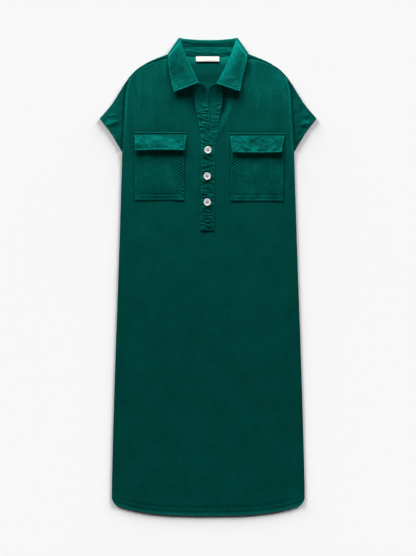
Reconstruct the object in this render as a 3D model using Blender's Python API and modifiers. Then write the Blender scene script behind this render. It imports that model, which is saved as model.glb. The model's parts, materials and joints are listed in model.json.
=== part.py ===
"""Short-sleeved shirt dress in linen, laid out flat on its back.

Metres, +Z up. The collar points to +Y, the front faces up, and the origin is on the
surface that the dress lies on, under the middle of its outline. Sizes below are in
millimetres and are scaled by MM when a mesh is made. Left and right are the viewer's.
"""
import math
from collections import namedtuple

import bmesh
import bpy
from mathutils import Vector

MM = 0.001

# ---------------------------------------------------------------- cloth and its layers
CLOTH = 1.2                 # wall of the panels, sleeves and collar
STRIP = 1.0                 # wall of the placket strips, pockets, flaps and label
GAP = 0.3                   # air between a piece and what it lies on
SEAM_GAP = 0.4              # air between two pieces that are sewn edge to edge

FLOOR_LEVEL = CLOTH / 2                                   # middle of the wall that rests
RAISED_LEVEL = CLOTH + GAP + CLOTH / 2                    # back panel over the collar
FRONT_LEVEL = 3.9                                         # middle of the front's wall
FRONT_TOP = FRONT_LEVEL + CLOTH / 2
ON_FRONT = FRONT_TOP + GAP + STRIP / 2                    # strip that lies on the front
STEP_UP = STRIP + GAP                                     # one more strip on top of it
SHOULDER_LEVEL = 4.4                                      # wrapped edge on the front side

# ---------------------------------------------------------------- outline of the body
Point = namedtuple("Point", "x y")
Outline = namedtuple("Outline", "x y wrap")

LENGTH = 1243.0
HEM_Y = -LENGTH / 2
HEM_RISE = 23.9             # how far the hem curves up at HEM_CURVE_X
HEM_CURVE_X = 233.0
CORNER_RISE = 15.0          # the rounded corner, between HEM_CURVE_X and HEM_HALF
HEM_HALF = 251.0

SIDE_SEAM = [               # half width of the body from the hem to the underarm
    Point(251.0, -577.0),
    Point(250.4, -530.0),
    Point(243.2, -270.0),
    Point(232.2, 42.0),
    Point(226.5, 220.0),
    Point(223.5, 327.0),
]
ARMHOLE = [                 # from the underarm to the shoulder
    Point(223.5, 327.0),
    Point(222.0, 370.0),
    Point(219.5, 407.0),
    Point(217.5, 445.0),
    Point(214.0, 485.0),
    Point(206.3, 512.6),
]
BACK_NECK = [               # half of the back neckline, from its middle
    Point(0.0, 570.6),
    Point(34.0, 571.1),
    Point(73.0, 576.0),
]
SHOULDER = [                # edge of the shoulder, and how far the back wraps over it
    Outline(97.0, 581.5, 13.5),
    Outline(108.0, 578.0, 11.0),
    Outline(129.0, 570.0, 7.0),
    Outline(148.5, 562.0, 5.2),
    Outline(164.0, 554.0, 4.2),
    Outline(187.0, 538.6, 3.6),
    Outline(201.5, 523.5, 3.6),
    Outline(208.3, 515.4, 3.6),
]

# ---------------------------------------------------------------- front and back rows
Row = namedtuple("Row", "inner_x inner_y outer_y")

SLIT_FOOT_Y = 124.0
SLIT_HALF = 11.0
HEM_ROWS = [                # rows along the hem band of the front
    Row(0.0, HEM_Y, -577.0),
    Row(0.0, HEM_Y + 5.0, -572.0),
    Row(0.0, HEM_Y + 11.0, -566.0),
    Row(0.0, HEM_Y + 13.5, -563.5),
    Row(0.0, HEM_Y + 27.0, -550.0),
]
SKIRT_ROWS = 13             # even rows between the hem band and the slit
SLIT_ROWS = [               # rows beside the slit, where the outer end is the side seam
    Row(0.0, SLIT_FOOT_Y, 124.0),
    Row(SLIT_HALF, SLIT_FOOT_Y + 5.0, 132.0),
    Row(SLIT_HALF, 190.0, 192.0),
    Row(SLIT_HALF, 255.0, 258.0),
    Row(12.0, 320.0, 327.0),
]
CHEST_ROWS = [              # rows from the slit's upper end round the front neckline
    Row(14.0, 362.0, 365.0),
    Row(21.0, 405.0, 400.0),
    Row(28.0, 445.0, 430.0),
    Row(33.0, 476.0, 455.0),
    Row(36.0, 497.0, 472.0),
    Row(48.0, 510.0, 484.0),
    Row(60.0, 522.0, 492.0),
    Row(72.0, 535.0, 499.0),
    Row(83.0, 551.0, 506.0),
]
FRONT_COLUMNS = [0.0, 0.1, 0.2, 0.3, 0.4, 0.5, 0.6, 0.7, 0.8, 0.87, 0.925, 0.958, 0.983, 1.0]
BACK_LEVELS = [-577.0, -470.0, -360.0, -240.0, -120.0, 0.0, 110.0, 220.0, 327.0]
BACK_YOKE_ROWS = [
    Row(0.0, 385.0, 372.0),
    Row(0.0, 440.0, 415.0),
    Row(0.0, 485.0, 450.0),
    Row(0.0, 520.0, 478.0),
    Row(0.0, 547.0, 497.0),
]

# ---------------------------------------------------------------- heights on the front
Profile = namedtuple("Profile", "distance height")

SIDE_PROFILE = [            # height of the front's wall by its distance from the side
    Profile(0.0, 2.1),
    Profile(4.0, 2.8),
    Profile(10.0, 3.5),
    Profile(18.0, FRONT_LEVEL),
]
HEM_PROFILE = [             # the same from the hem: the turned band stands a little proud
    Profile(0.0, 2.3),
    Profile(5.0, 3.3),
    Profile(11.0, 3.5),
    Profile(13.5, 3.0),
    Profile(27.0, FRONT_LEVEL),
]
Fold = namedtuple("Fold", "x0 y0 x1 y1 width height")
FOLDS = [                   # soft ridges (+) and troughs (-) in the front, end to end
    Fold(-187.0, 530.0, -187.0, 425.0, 26.0, -0.7),
    Fold(-166.0, 540.0, -170.0, 400.0, 24.0, 0.6),
    Fold(170.0, 540.0, 176.0, 410.0, 26.0, 0.6),
    Fold(62.0, 470.0, 40.0, 395.0, 26.0, 0.9),
    Fold(-62.0, 465.0, -44.0, 400.0, 24.0, 0.6),
    Fold(-150.0, -60.0, -165.0, -430.0, 90.0, 0.7),
    Fold(60.0, 60.0, 48.0, -380.0, 100.0, -0.6),
    Fold(172.0, -20.0, 190.0, -400.0, 80.0, 0.7),
]

# ---------------------------------------------------------------- neck: back panel raised
NECK_CENTRE = Point(0.0, 600.0)
NECK_RADII = Point(135.0, 75.0)
NECK_FULL = 0.95            # the back lies on the collar inside this share of the radii
NECK_END = 1.3

# ---------------------------------------------------------------- sleeves
SLEEVE_TOP = [              # upper edge, from the armhole to the cuff
    Point(209.4, 514.2),
    Point(218.4, 499.6),
    Point(237.6, 468.4),
    Point(247.6, 452.8),
    Point(259.7, 437.2),
    Point(273.4, 421.6),
    Point(282.4, 411.2),
]
SLEEVE_UNDER = [Point(224.2, 338.0), Point(226.6, 328.0)]
CUFF = [                    # cuff edge, from the tip to the underarm
    Point(282.4, 411.2),
    Point(266.0, 390.4),
    Point(254.3, 374.8),
    Point(244.7, 359.2),
    Point(235.8, 343.6),
    Point(226.6, 328.0),
]
Station = namedtuple("Station", "along height")
SLEEVE_STATIONS = [         # from armhole to cuff: height of the upper layer's wall
    Station(0.0, 3.3),
    Station(0.07, 3.2),
    Station(0.25, 3.6),
    Station(0.45, 3.9),
    Station(0.65, 3.8),
    Station(0.84, 3.5),
    Station(0.88, 4.0),
    Station(1.0, 3.7),
]
SLEEVE_ACROSS = 8

# ---------------------------------------------------------------- collar
Section = namedtuple("Section", "upper_x upper_y lower_x lower_y upper_z lower_z")

LEFT_LEAF = [               # from its front end to the shoulder: roll and outer edge
    Section(25.0, 504.0, 88.0, 480.0, 13.2, 6.0),
    Section(35.0, 524.0, 95.0, 502.0, 13.4, 6.0),
    Section(46.0, 546.0, 100.0, 524.0, 12.6, 6.0),
    Section(58.0, 572.0, 103.0, 547.0, 11.0, 6.6),
    Section(67.0, 596.0, 104.0, 566.0, 9.2, 7.6),
]
RIGHT_LEAF = [              # the same on the other side, a little narrower
    Section(22.5, 501.5, 82.8, 481.4, 13.2, 6.0),
    Section(32.5, 519.5, 86.5, 500.0, 13.4, 6.0),
    Section(44.0, 541.0, 91.5, 521.0, 12.6, 6.0),
    Section(57.5, 572.0, 97.5, 547.0, 11.0, 6.6),
    Section(67.0, 596.0, 101.5, 567.0, 9.2, 7.6),
]
FALL_FOLD_UPPER = Point(76.3, 621.5)
FALL_FOLD_LOWER = Point(104.2, 581.8)
FALL_BACK = [               # under the back: roll and outer edge, towards the middle
    Section(70.5, 618.4, 82.5, 574.6, FLOOR_LEVEL, FLOOR_LEVEL),
    Section(64.0, 616.8, 74.0, 572.5, FLOOR_LEVEL, FLOOR_LEVEL),
    Section(46.0, 615.0, 50.0, 566.5, FLOOR_LEVEL, FLOOR_LEVEL),
    Section(24.0, 613.5, 25.0, 563.8, FLOOR_LEVEL, FLOOR_LEVEL),
    Section(0.0, 613.0, 0.0, 563.0, FLOOR_LEVEL, FLOOR_LEVEL),
]
FALL_ACROSS = 6
ROLL_TOP = 4.6              # height of the roll behind the neck, middle of its wall
ROLL_ARC = 4
FALL_SEAM_Y = 598.0         # where the fall meets the stand behind the neck

STAND_FRONT = [
    Section(39.0, 528.0, 57.0, 514.0, 10.2, 5.45),
    Section(46.5, 546.0, 70.0, 530.0, 9.8, 5.45),
    Section(61.0, 572.0, 85.0, 553.0, 7.6, 5.8),
    Section(70.0, 590.0, 93.0, 572.0, 6.6, 6.2),
]
STAND_FOLD_UPPER = Point(76.0, 599.6)
STAND_FOLD_LOWER = Point(96.0, 588.0)
STAND_BACK = [
    Section(66.0, 597.2, 73.0, 576.8, RAISED_LEVEL, RAISED_LEVEL),
    Section(34.0, 597.2, 34.0, 571.9, RAISED_LEVEL, RAISED_LEVEL),
    Section(0.0, 597.2, 0.0, 571.3, RAISED_LEVEL, RAISED_LEVEL),
]
STAND_ACROSS = 3
FOLD_STEPS = 4              # faces round a folded edge

# ---------------------------------------------------------------- placket
OVER_LEFT = [Point(-20.0, 119.0), Point(-20.0, 350.0), Point(-24.0, 392.0), Point(-31.5, 433.0),
             Point(-39.5, 478.0), Point(-40.0, 505.0)]
OVER_RIGHT = [Point(15.9, 119.0), Point(14.8, 325.0), Point(8.6, 363.0), Point(3.4, 400.0),
              Point(-0.5, 446.0), Point(-2.6, 485.0)]
OVER_TOP = [Point(-40.0, 505.0), Point(-25.0, 503.0), Point(-9.4, 495.4), Point(-2.6, 485.0)]
OVER_BOTTOM = [Point(-20.0, 119.0), Point(15.9, 119.0)]
UNDER_LEFT = [Point(-13.0, 123.0), Point(-13.0, 329.0), Point(-10.5, 363.0), Point(-3.0, 446.0),
              Point(1.6, 488.0)]
UNDER_RIGHT = [Point(17.4, 123.0), Point(18.2, 329.0), Point(23.9, 372.0), Point(29.6, 412.0),
               Point(38.2, 462.0), Point(38.5, 502.0)]
UNDER_TOP = [Point(1.6, 488.0), Point(7.3, 495.4), Point(22.4, 501.0), Point(38.5, 502.0)]
UNDER_BOTTOM = [Point(-13.0, 123.0), Point(17.4, 123.0)]
PLACKET_ROWS = 16
PLACKET_COLUMNS = 6
LIFT_START = 9.0            # the upper strip starts to climb this far before the lower one
LIFT_WIDTH = 5.0

# ---------------------------------------------------------------- pockets
Patch = namedtuple("Patch", "side top_in top_out top_y low_in low_out low_y")
POCKETS = [
    Patch(-1, 63.0, 190.5, 352.0, 63.0, 190.5, 198.5),
    Patch(1, 59.0, 196.0, 350.0, 59.0, 196.0, 196.7),
]
FLAPS = [
    Patch(-1, 55.0, 193.0, 376.0, 61.6, 189.0, 327.3),
    Patch(1, 55.4, 200.5, 373.5, 61.9, 190.8, 322.5),
]
POCKET_BULGE = 0.8
POCKET_GRID = 8
FLAP_PROFILE = [            # height of the flap's wall by its distance below its top seam
    Profile(0.0, ON_FRONT),
    Profile(4.5, ON_FRONT + 0.6),
    Profile(8.0, ON_FRONT + 0.1),
    Profile(17.0, ON_FRONT + 2.4),
    Profile(32.0, ON_FRONT + 4.0),
    Profile(44.0, ON_FRONT + 4.2),
    Profile(54.0, ON_FRONT + 3.6),
]
FLAP_ROWS = [0.0, 0.09, 0.16, 0.34, 0.5, 0.66, 0.84, 1.0]
FLAP_COLUMNS = 8

# ---------------------------------------------------------------- buttons and label
BUTTON_RADIUS = 9.7
BUTTON_THICK = 3.0
BUTTON_RIM = 1.9            # width of the raised rim
BUTTON_DISH = 0.8           # depth of the dish inside the rim
BUTTON_SIDES = 32
HOLE_RADIUS = 1.1
HOLE_PITCH = 1.75           # from the button's axis, along x and along y
HOLE_SIDES = 10
BUTTONS = {
    "button_top": Point(-0.8, 328.8),
    "button_middle": Point(-2.6, 260.7),
    "button_bottom": Point(-2.3, 193.1),
}
BUTTON_BASE = ON_FRONT + STEP_UP + STRIP / 2 + GAP

LABEL_LEFT = -31.8
LABEL_RIGHT = 28.9
LABEL_TOP = 573.8
LABEL_LOW = 558.9
LABEL_LEVEL = RAISED_LEVEL + CLOTH / 2 + GAP + STRIP / 2

# ---------------------------------------------------------------- colours (linear)
LINEN = (0.004, 0.075, 0.062, 1.0)
LINEN_COLLAR = (0.006, 0.105, 0.088, 1.0)
SHELL_WHITE = (0.72, 0.71, 0.69, 1.0)
LABEL_WHITE = (0.66, 0.63, 0.58, 1.0)


# ---------------------------------------------------------------- curves and grids
def smooth_step(value):
    """0 below 0, 1 above 1, and an S between them."""
    share = min(max(value, 0.0), 1.0)
    return share * share * (3.0 - 2.0 * share)


def read_profile(profile, distance):
    """Height at a distance from an edge, along straight lines between the rows."""
    if distance <= profile[0].distance:
        return profile[0].height
    for near, far in zip(profile, profile[1:]):
        if distance <= far.distance:
            share = (distance - near.distance) / (far.distance - near.distance)
            return near.height + share * (far.height - near.height)
    return profile[-1].height


def smooth_line(points, shares):
    """Points on a smooth curve through the given ones, at shares of its chord length."""
    line = [Vector((point[0], point[1])) for point in points]
    reach = [0.0]
    for start, end in zip(line, line[1:]):
        reach.append(reach[-1] + (end - start).length)
    slopes = []
    for index in range(len(line)):
        low = max(index - 1, 0)
        high = min(index + 1, len(line) - 1)
        slopes.append((line[high] - line[low]) / (reach[high] - reach[low]))
    result = []
    for share in shares:
        distance = share * reach[-1]
        index = 0
        while index < len(line) - 2 and distance > reach[index + 1]:
            index += 1
        span = reach[index + 1] - reach[index]
        t = (distance - reach[index]) / span
        result.append(
            line[index] * (2 * t**3 - 3 * t**2 + 1)
            + slopes[index] * span * (t**3 - 2 * t**2 + t)
            + line[index + 1] * (3 * t**2 - 2 * t**3)
            + slopes[index + 1] * span * (t**3 - t**2)
        )
    return result


def even(count):
    """Shares 0 to 1 in count equal steps."""
    return [index / count for index in range(count + 1)]


def shares_of(points):
    """How far along a line of points each of them is, from 0 to 1."""
    reach = [0.0]
    for start, end in zip(points, points[1:]):
        reach.append(reach[-1] + (end - start).length)
    return [distance / reach[-1] for distance in reach]


def coons(first, last, start, end, along=None, across=None):
    """Rows of plan points between four edges.

    first and last are the first and the last row; start and end hold where each row
    begins and ends.
    """
    along = along or shares_of(start)
    across = across or shares_of(first)
    rows = []
    for v, row_start, row_end in zip(along, start, end):
        row = []
        for u, low, high in zip(across, first, last):
            ruled = row_start * (1 - u) + row_end * u + low * (1 - v) + high * v
            corners = (
                (first[0] * (1 - u) + first[-1] * u) * (1 - v)
                + (last[0] * (1 - u) + last[-1] * u) * v
            )
            row.append(ruled - corners)
        rows.append(row)
    return rows


def outward(points, index):
    """Unit normal of a line of plan points, to the left of its direction."""
    before = points[max(index - 1, 0)]
    after = points[min(index + 1, len(points) - 1)]
    along = (after - before).normalized()
    return Vector((-along.y, along.x))


# ---------------------------------------------------------------- meshes and objects
def skin(mesh, rows, closed=False):
    """Faces between rows of vertices that already exist."""
    for low, high in zip(rows, rows[1:]):
        count = len(low) if closed else len(low) - 1
        for index in range(count):
            after = (index + 1) % len(low)
            mesh.faces.new((low[index], low[after], high[after], high[index]))


def add_rows(mesh, rows):
    """Vertices at rows of points given in millimetres."""
    return [[mesh.verts.new(Vector(point) * MM) for point in row] for row in rows]


def new_material(name, colour, roughness):
    material = bpy.data.materials.new(name)
    material.use_nodes = True
    shader = material.node_tree.nodes["Principled BSDF"]
    shader.inputs["Base Color"].default_value = colour
    shader.inputs["Roughness"].default_value = roughness
    return material


def new_object(name, mesh, material, collection):
    """An object from a bmesh, smooth shaded, with one material."""
    data = bpy.data.meshes.new(name)
    bmesh.ops.recalc_face_normals(mesh, faces=mesh.faces)
    mesh.to_mesh(data)
    mesh.free()
    data.shade_smooth()
    data.materials.append(material)
    item = bpy.data.objects.new(name, data)
    collection.objects.link(item)
    return item


def new_cloth(name, mesh, wall, material, collection, mirrored=False):
    """Cloth: an open surface through the middle of its wall, given its thickness."""
    item = new_object(name, mesh, material, collection)
    if mirrored:
        mirror = item.modifiers.new("Other half", "MIRROR")
        mirror.merge_threshold = 0.0001
    solidify = item.modifiers.new("Wall", "SOLIDIFY")
    solidify.thickness = wall * MM
    solidify.offset = 0.0
    return item


# ---------------------------------------------------------------- body
def hem_y(x):
    """The hem's curve, with its rounded corner."""
    curve = HEM_RISE * (abs(x) / HEM_CURVE_X) ** 3
    past = max(abs(x) - HEM_CURVE_X, 0.0) / (HEM_HALF - HEM_CURVE_X)
    return HEM_Y + curve + CORNER_RISE * past**3


def edge_x(y):
    """Half width of the body at a height, along its side seam and armhole."""
    edge = SIDE_SEAM + ARMHOLE[1:]
    for low, high in zip(edge, edge[1:]):
        if y <= high.y:
            return low.x + (high.x - low.x) * (y - low.y) / (high.y - low.y)
    return edge[-1].x


def fold_height(x, y):
    """What the folds add to the height of the front at a point."""
    total = 0.0
    for fold in FOLDS:
        axis = Vector((fold.x1 - fold.x0, fold.y1 - fold.y0))
        here = Vector((x - fold.x0, y - fold.y0))
        along = here.dot(axis) / axis.length_squared
        if 0.0 < along < 1.0:
            across = abs(axis.x * here.y - axis.y * here.x) / axis.length
            ends = math.sin(math.pi * along)
            total += fold.height * ends * smooth_step(1.0 - across / (fold.width / 2))
    return total


def front_height(x, y):
    """Middle of the front's wall: low along the side and the hem, with its folds."""
    from_side = edge_x(y) - abs(x) if y < ARMHOLE[0].y else SIDE_PROFILE[-1].distance
    low = min(read_profile(SIDE_PROFILE, from_side), read_profile(HEM_PROFILE, y - hem_y(x)))
    return low + fold_height(x, y) * (low / FRONT_LEVEL) ** 2


def back_height(x, y):
    """Middle of the back's wall: on the floor, and up on the collar round the neck."""
    across = (x - NECK_CENTRE.x) / NECK_RADII.x
    along = (y - NECK_CENTRE.y) / NECK_RADII.y
    share = (NECK_END - math.hypot(across, along)) / (NECK_END - NECK_FULL)
    return FLOOR_LEVEL + (RAISED_LEVEL - FLOOR_LEVEL) * smooth_step(share)


def shoulder_points():
    """The shoulder's edge, its outward directions, and the seam on the front side."""
    edge = [Vector((row.x, row.y)) for row in SHOULDER]
    normals = [outward(edge, index) for index in range(len(edge))]
    seam = [point - normal * row.wrap for point, normal, row in zip(edge, normals, SHOULDER)]
    return edge, normals, seam


def build_front(material, collection):
    """One half, open at the middle below the slit, and its mirror image."""
    rows = list(HEM_ROWS)
    last, foot = HEM_ROWS[-1], SLIT_ROWS[0]
    for share in even(SKIRT_ROWS)[1:-1]:
        inner = last.inner_y + (foot.inner_y - last.inner_y) * share
        outer = last.outer_y + (foot.outer_y - last.outer_y) * share
        rows.append(Row(0.0, inner, outer))
    rows += SLIT_ROWS + CHEST_ROWS
    start = [Vector((row.inner_x, row.inner_y)) for row in rows]
    end = [Vector((edge_x(row.outer_y), row.outer_y)) for row in rows]

    _, normals, seam = shoulder_points()
    seam = [point - normal * SEAM_GAP * 2 for point, normal in zip(seam, normals)]
    shoulder = smooth_line(seam, FRONT_COLUMNS)
    start.append(shoulder[0])
    end.append(shoulder[-1])
    hem = [Vector((u * HEM_HALF, hem_y(u * HEM_HALF))) for u in FRONT_COLUMNS]

    grid = coons(hem, shoulder, start, end, across=FRONT_COLUMNS)
    mesh = bmesh.new()
    skin(mesh, add_rows(mesh, [[(p.x, p.y, front_height(p.x, p.y)) for p in row] for row in grid]))
    new_cloth("front", mesh, CLOTH, material, collection, mirrored=True)


def build_back(material, collection):
    """One half and its mirror image: flat, wrapped over the shoulder to its seam."""
    edge, normals, seam = shoulder_points()
    radii = [(SHOULDER_LEVEL - back_height(p.x, p.y)) / 2 for p in edge]
    fold = [p - n * (r + CLOTH / 2) for p, n, r in zip(edge, normals, radii)]
    top = [Vector(point) for point in BACK_NECK] + fold
    across = [point.x / top[-1].x for point in top]
    hem = [Vector((u * HEM_HALF, hem_y(u * HEM_HALF))) for u in across]

    rows = [Row(0.0, HEM_Y, BACK_LEVELS[0])] + [Row(0.0, y, y) for y in BACK_LEVELS[1:]]
    rows += BACK_YOKE_ROWS
    start = [Vector((row.inner_x, row.inner_y)) for row in rows] + [top[0]]
    end = [Vector((edge_x(row.outer_y), row.outer_y)) for row in rows] + [top[-1]]
    grid = coons(hem, top, start, end, across=across)

    mesh = bmesh.new()
    panel = add_rows(mesh, [[(p.x, p.y, back_height(p.x, p.y)) for p in row] for row in grid])
    skin(mesh, panel)

    wrap = []
    for step in range(1, FOLD_STEPS + 1):
        angle = math.pi * step / FOLD_STEPS - math.pi / 2
        row = []
        for point, normal, radius in zip(fold, normals, radii):
            plan = point + normal * radius * math.cos(angle)
            row.append((plan.x, plan.y, SHOULDER_LEVEL - radius + radius * math.sin(angle)))
        wrap.append(row)
    wrap.append([(point.x, point.y, SHOULDER_LEVEL) for point in seam])
    skin(mesh, [panel[-1][len(BACK_NECK):]] + add_rows(mesh, wrap))
    new_cloth("back", mesh, CLOTH, material, collection, mirrored=True)


# ---------------------------------------------------------------- sleeves
def build_sleeve(name, side, material, collection):
    """A flattened tube: upper layer, fold at the underarm, lower layer, upper fold."""
    along = [station.along for station in SLEEVE_STATIONS]
    armhole = [Vector(point) + Vector((SEAM_GAP, 0.0)) for point in ARMHOLE[::-1]]
    armhole[0] = Vector(SLEEVE_TOP[0])
    armhole[-1] = Vector(SLEEVE_UNDER[0])
    top_edge = smooth_line(SLEEVE_TOP, along)
    low_edge = smooth_line(SLEEVE_UNDER, along)
    grid = coons(
        smooth_line(armhole, even(SLEEVE_ACROSS)),
        smooth_line(CUFF, even(SLEEVE_ACROSS)),
        top_edge,
        low_edge,
        along=along,
        across=even(SLEEVE_ACROSS),
    )
    rings = []
    for index, (row, station) in enumerate(zip(grid, SLEEVE_STATIONS)):
        radius = (station.height - FLOOR_LEVEL) / 2
        middle = FLOOR_LEVEL + radius
        inset = radius + CLOTH / 2
        up = (row[0] - row[1]).normalized()
        down = (row[-1] - row[-2]).normalized()
        row = [row[0] - up * inset] + row[1:-1] + [row[-1] - down * inset]
        ring = [(p.x, p.y, station.height) for p in row]
        for centre, out, turn in ((row[-1], down, 1), (row[0], up, -1)):
            for step in range(1, FOLD_STEPS):
                angle = turn * (math.pi / 2 - math.pi * step / FOLD_STEPS)
                plan = centre + out * radius * math.cos(angle)
                ring.append((plan.x, plan.y, middle + radius * math.sin(angle)))
            if turn > 0:
                ring += [(p.x, p.y, FLOOR_LEVEL) for p in reversed(row)]
        rings.append([(side * x, y, z) for x, y, z in ring])
    mesh = bmesh.new()
    skin(mesh, add_rows(mesh, rings), closed=True)
    new_cloth(name, mesh, CLOTH, material, collection)


# ---------------------------------------------------------------- collar
def section_ends(row):
    """The upper and the lower end of one section."""
    upper = Vector((row.upper_x, row.upper_y, row.upper_z))
    lower = Vector((row.lower_x, row.lower_y, row.lower_z))
    return upper, lower


def folded_sections(front, fold_upper, fold_lower, back):
    """Half of a collar strip: the ends of each section, front end first.

    It lies on the front, turns round the folded edge at the shoulder and runs on
    under the neck to the middle of the back.
    """
    sections = [section_ends(row) for row in front]
    upper = Vector((fold_upper.x, fold_upper.y, 0.0))
    lower = Vector((fold_lower.x, fold_lower.y, 0.0))
    along = (lower - upper).normalized()
    out = Vector((-along.y, along.x, 0.0))
    bottom = back[0].upper_z
    radius = (front[-1].lower_z - bottom) / 2
    inset = out * (radius + CLOTH / 2)
    for step in range(FOLD_STEPS + 1):
        angle = math.pi / 2 - math.pi * step / FOLD_STEPS
        shell = out * radius * math.cos(angle) - inset
        shell.z = bottom + radius + radius * math.sin(angle)
        sections.append((upper + shell, lower + shell))
    return sections + [section_ends(row) for row in back]


def both_sides(left, right, fold_upper, fold_lower, back):
    """Sections from the left front end round the neck to the right front end."""
    strip = []
    for side, front in ((-1, left), (1, right)):
        half = folded_sections(front, fold_upper, fold_lower, back)
        half = [[Vector((side * p.x, p.y, p.z)) for p in section] for section in half]
        strip += half if side < 0 else half[-2::-1]
    return strip


def build_fall(material, collection):
    """The leaves and the fall behind, and behind the neck the roll down to the stand."""
    strip = both_sides(LEFT_LEAF, RIGHT_LEAF, FALL_FOLD_UPPER, FALL_FOLD_LOWER, FALL_BACK)
    mesh = bmesh.new()
    rows = [[upper.lerp(lower, share) for share in even(FALL_ACROSS)] for upper, lower in strip]
    sheet = add_rows(mesh, rows)
    skin(mesh, sheet)

    first = len(LEFT_LEAF) + FOLD_STEPS + 1
    behind = range(first, len(strip) - first)
    roll = [[sheet[index][0] for index in behind]]
    radius = (ROLL_TOP - FLOOR_LEVEL) / 2
    for step in range(1, ROLL_ARC + 1):
        angle = math.pi * step / ROLL_ARC - math.pi / 2
        row = []
        for index in behind:
            base = strip[index][0]
            out = radius * math.cos(angle)
            row.append((base.x, base.y + out, FLOOR_LEVEL + radius * (1 + math.sin(angle))))
        roll += add_rows(mesh, [row])
    seam = [(strip[index][0].x, FALL_SEAM_Y, RAISED_LEVEL) for index in behind]
    roll += add_rows(mesh, [seam])
    skin(mesh, roll)
    new_cloth("collar_fall", mesh, CLOTH, material, collection)


def build_stand(material, collection):
    """The band from the neckline to the fall, folded at the shoulders like the fall."""
    strip = both_sides(STAND_FRONT, STAND_FRONT, STAND_FOLD_UPPER, STAND_FOLD_LOWER, STAND_BACK)
    mesh = bmesh.new()
    rows = [[upper.lerp(lower, share) for share in even(STAND_ACROSS)] for upper, lower in strip]
    skin(mesh, add_rows(mesh, rows))
    new_cloth("collar_stand", mesh, CLOTH, material, collection)


# ---------------------------------------------------------------- pieces on the front
def build_strip(name, left, right, top, bottom, height, material, collection):
    """A placket strip between its four edges, with its height at each point."""
    grid = coons(
        smooth_line(bottom, even(PLACKET_COLUMNS)),
        smooth_line(top, even(PLACKET_COLUMNS)),
        smooth_line(left, even(PLACKET_ROWS)),
        smooth_line(right, even(PLACKET_ROWS)),
    )
    mesh = bmesh.new()
    skin(mesh, add_rows(mesh, [[(p.x, p.y, height(p.x, p.y)) for p in row] for row in grid]))
    new_cloth(name, mesh, STRIP, material, collection)


def over_height(x, y):
    """The upper strip lies on the front and climbs over the lower strip's free edge."""
    edge = UNDER_LEFT[-1].x
    for low, high in zip(UNDER_LEFT, UNDER_LEFT[1:]):
        if y <= high.y:
            edge = low.x + (high.x - low.x) * (y - low.y) / (high.y - low.y)
            break
    return ON_FRONT + STEP_UP * smooth_step((x - edge + LIFT_START) / LIFT_WIDTH)


def build_placket(material, collection):
    build_strip("placket_under", UNDER_LEFT, UNDER_RIGHT, UNDER_TOP, UNDER_BOTTOM,
                lambda x, y: ON_FRONT, material, collection)
    build_strip("placket_over", OVER_LEFT, OVER_RIGHT, OVER_TOP, OVER_BOTTOM,
                over_height, material, collection)


def build_patch(name, patch, rows, columns, height, material, collection):
    """A four-cornered piece, its height worked out from its shares up and across."""
    mesh = bmesh.new()
    points = []
    for v in rows:
        inner = patch.top_in + (patch.low_in - patch.top_in) * v
        outer = patch.top_out + (patch.low_out - patch.top_out) * v
        y = patch.top_y + (patch.low_y - patch.top_y) * v
        row = []
        for u in even(columns):
            row.append((patch.side * (inner + (outer - inner) * u), y, height(patch, u, v)))
        points.append(row)
    skin(mesh, add_rows(mesh, points))
    new_cloth(name, mesh, STRIP, material, collection)


def pocket_height(patch, u, v):
    return ON_FRONT + POCKET_BULGE * math.sin(math.pi * u) * math.sin(math.pi * v)


def flap_height(patch, u, v):
    return read_profile(FLAP_PROFILE, (patch.top_y - patch.low_y) * v)


def build_pockets(material, collection):
    for patch in POCKETS:
        name = "pocket_left" if patch.side < 0 else "pocket_right"
        build_patch(name, patch, even(POCKET_GRID), POCKET_GRID, pocket_height, material, collection)
    for patch in FLAPS:
        name = "pocket_flap_left" if patch.side < 0 else "pocket_flap_right"
        build_patch(name, patch, FLAP_ROWS, FLAP_COLUMNS, flap_height, material, collection)


# ---------------------------------------------------------------- buttons and label
def hole_cutter(collection):
    """Four posts that the button's holes are cut with."""
    mesh = bmesh.new()
    for x in (-HOLE_PITCH, HOLE_PITCH):
        for y in (-HOLE_PITCH, HOLE_PITCH):
            post = bmesh.ops.create_cone(
                mesh, cap_ends=True, segments=HOLE_SIDES, radius1=HOLE_RADIUS * MM,
                radius2=HOLE_RADIUS * MM, depth=BUTTON_THICK * 3 * MM)
            bmesh.ops.translate(mesh, verts=post["verts"], vec=Vector((x, y, 0.0)) * MM)
    data = bpy.data.meshes.new("button_holes")
    mesh.to_mesh(data)
    mesh.free()
    cutter = bpy.data.objects.new("button_holes", data)
    cutter.hide_render = True
    cutter.display_type = "WIRE"
    collection.objects.link(cutter)
    return cutter


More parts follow.
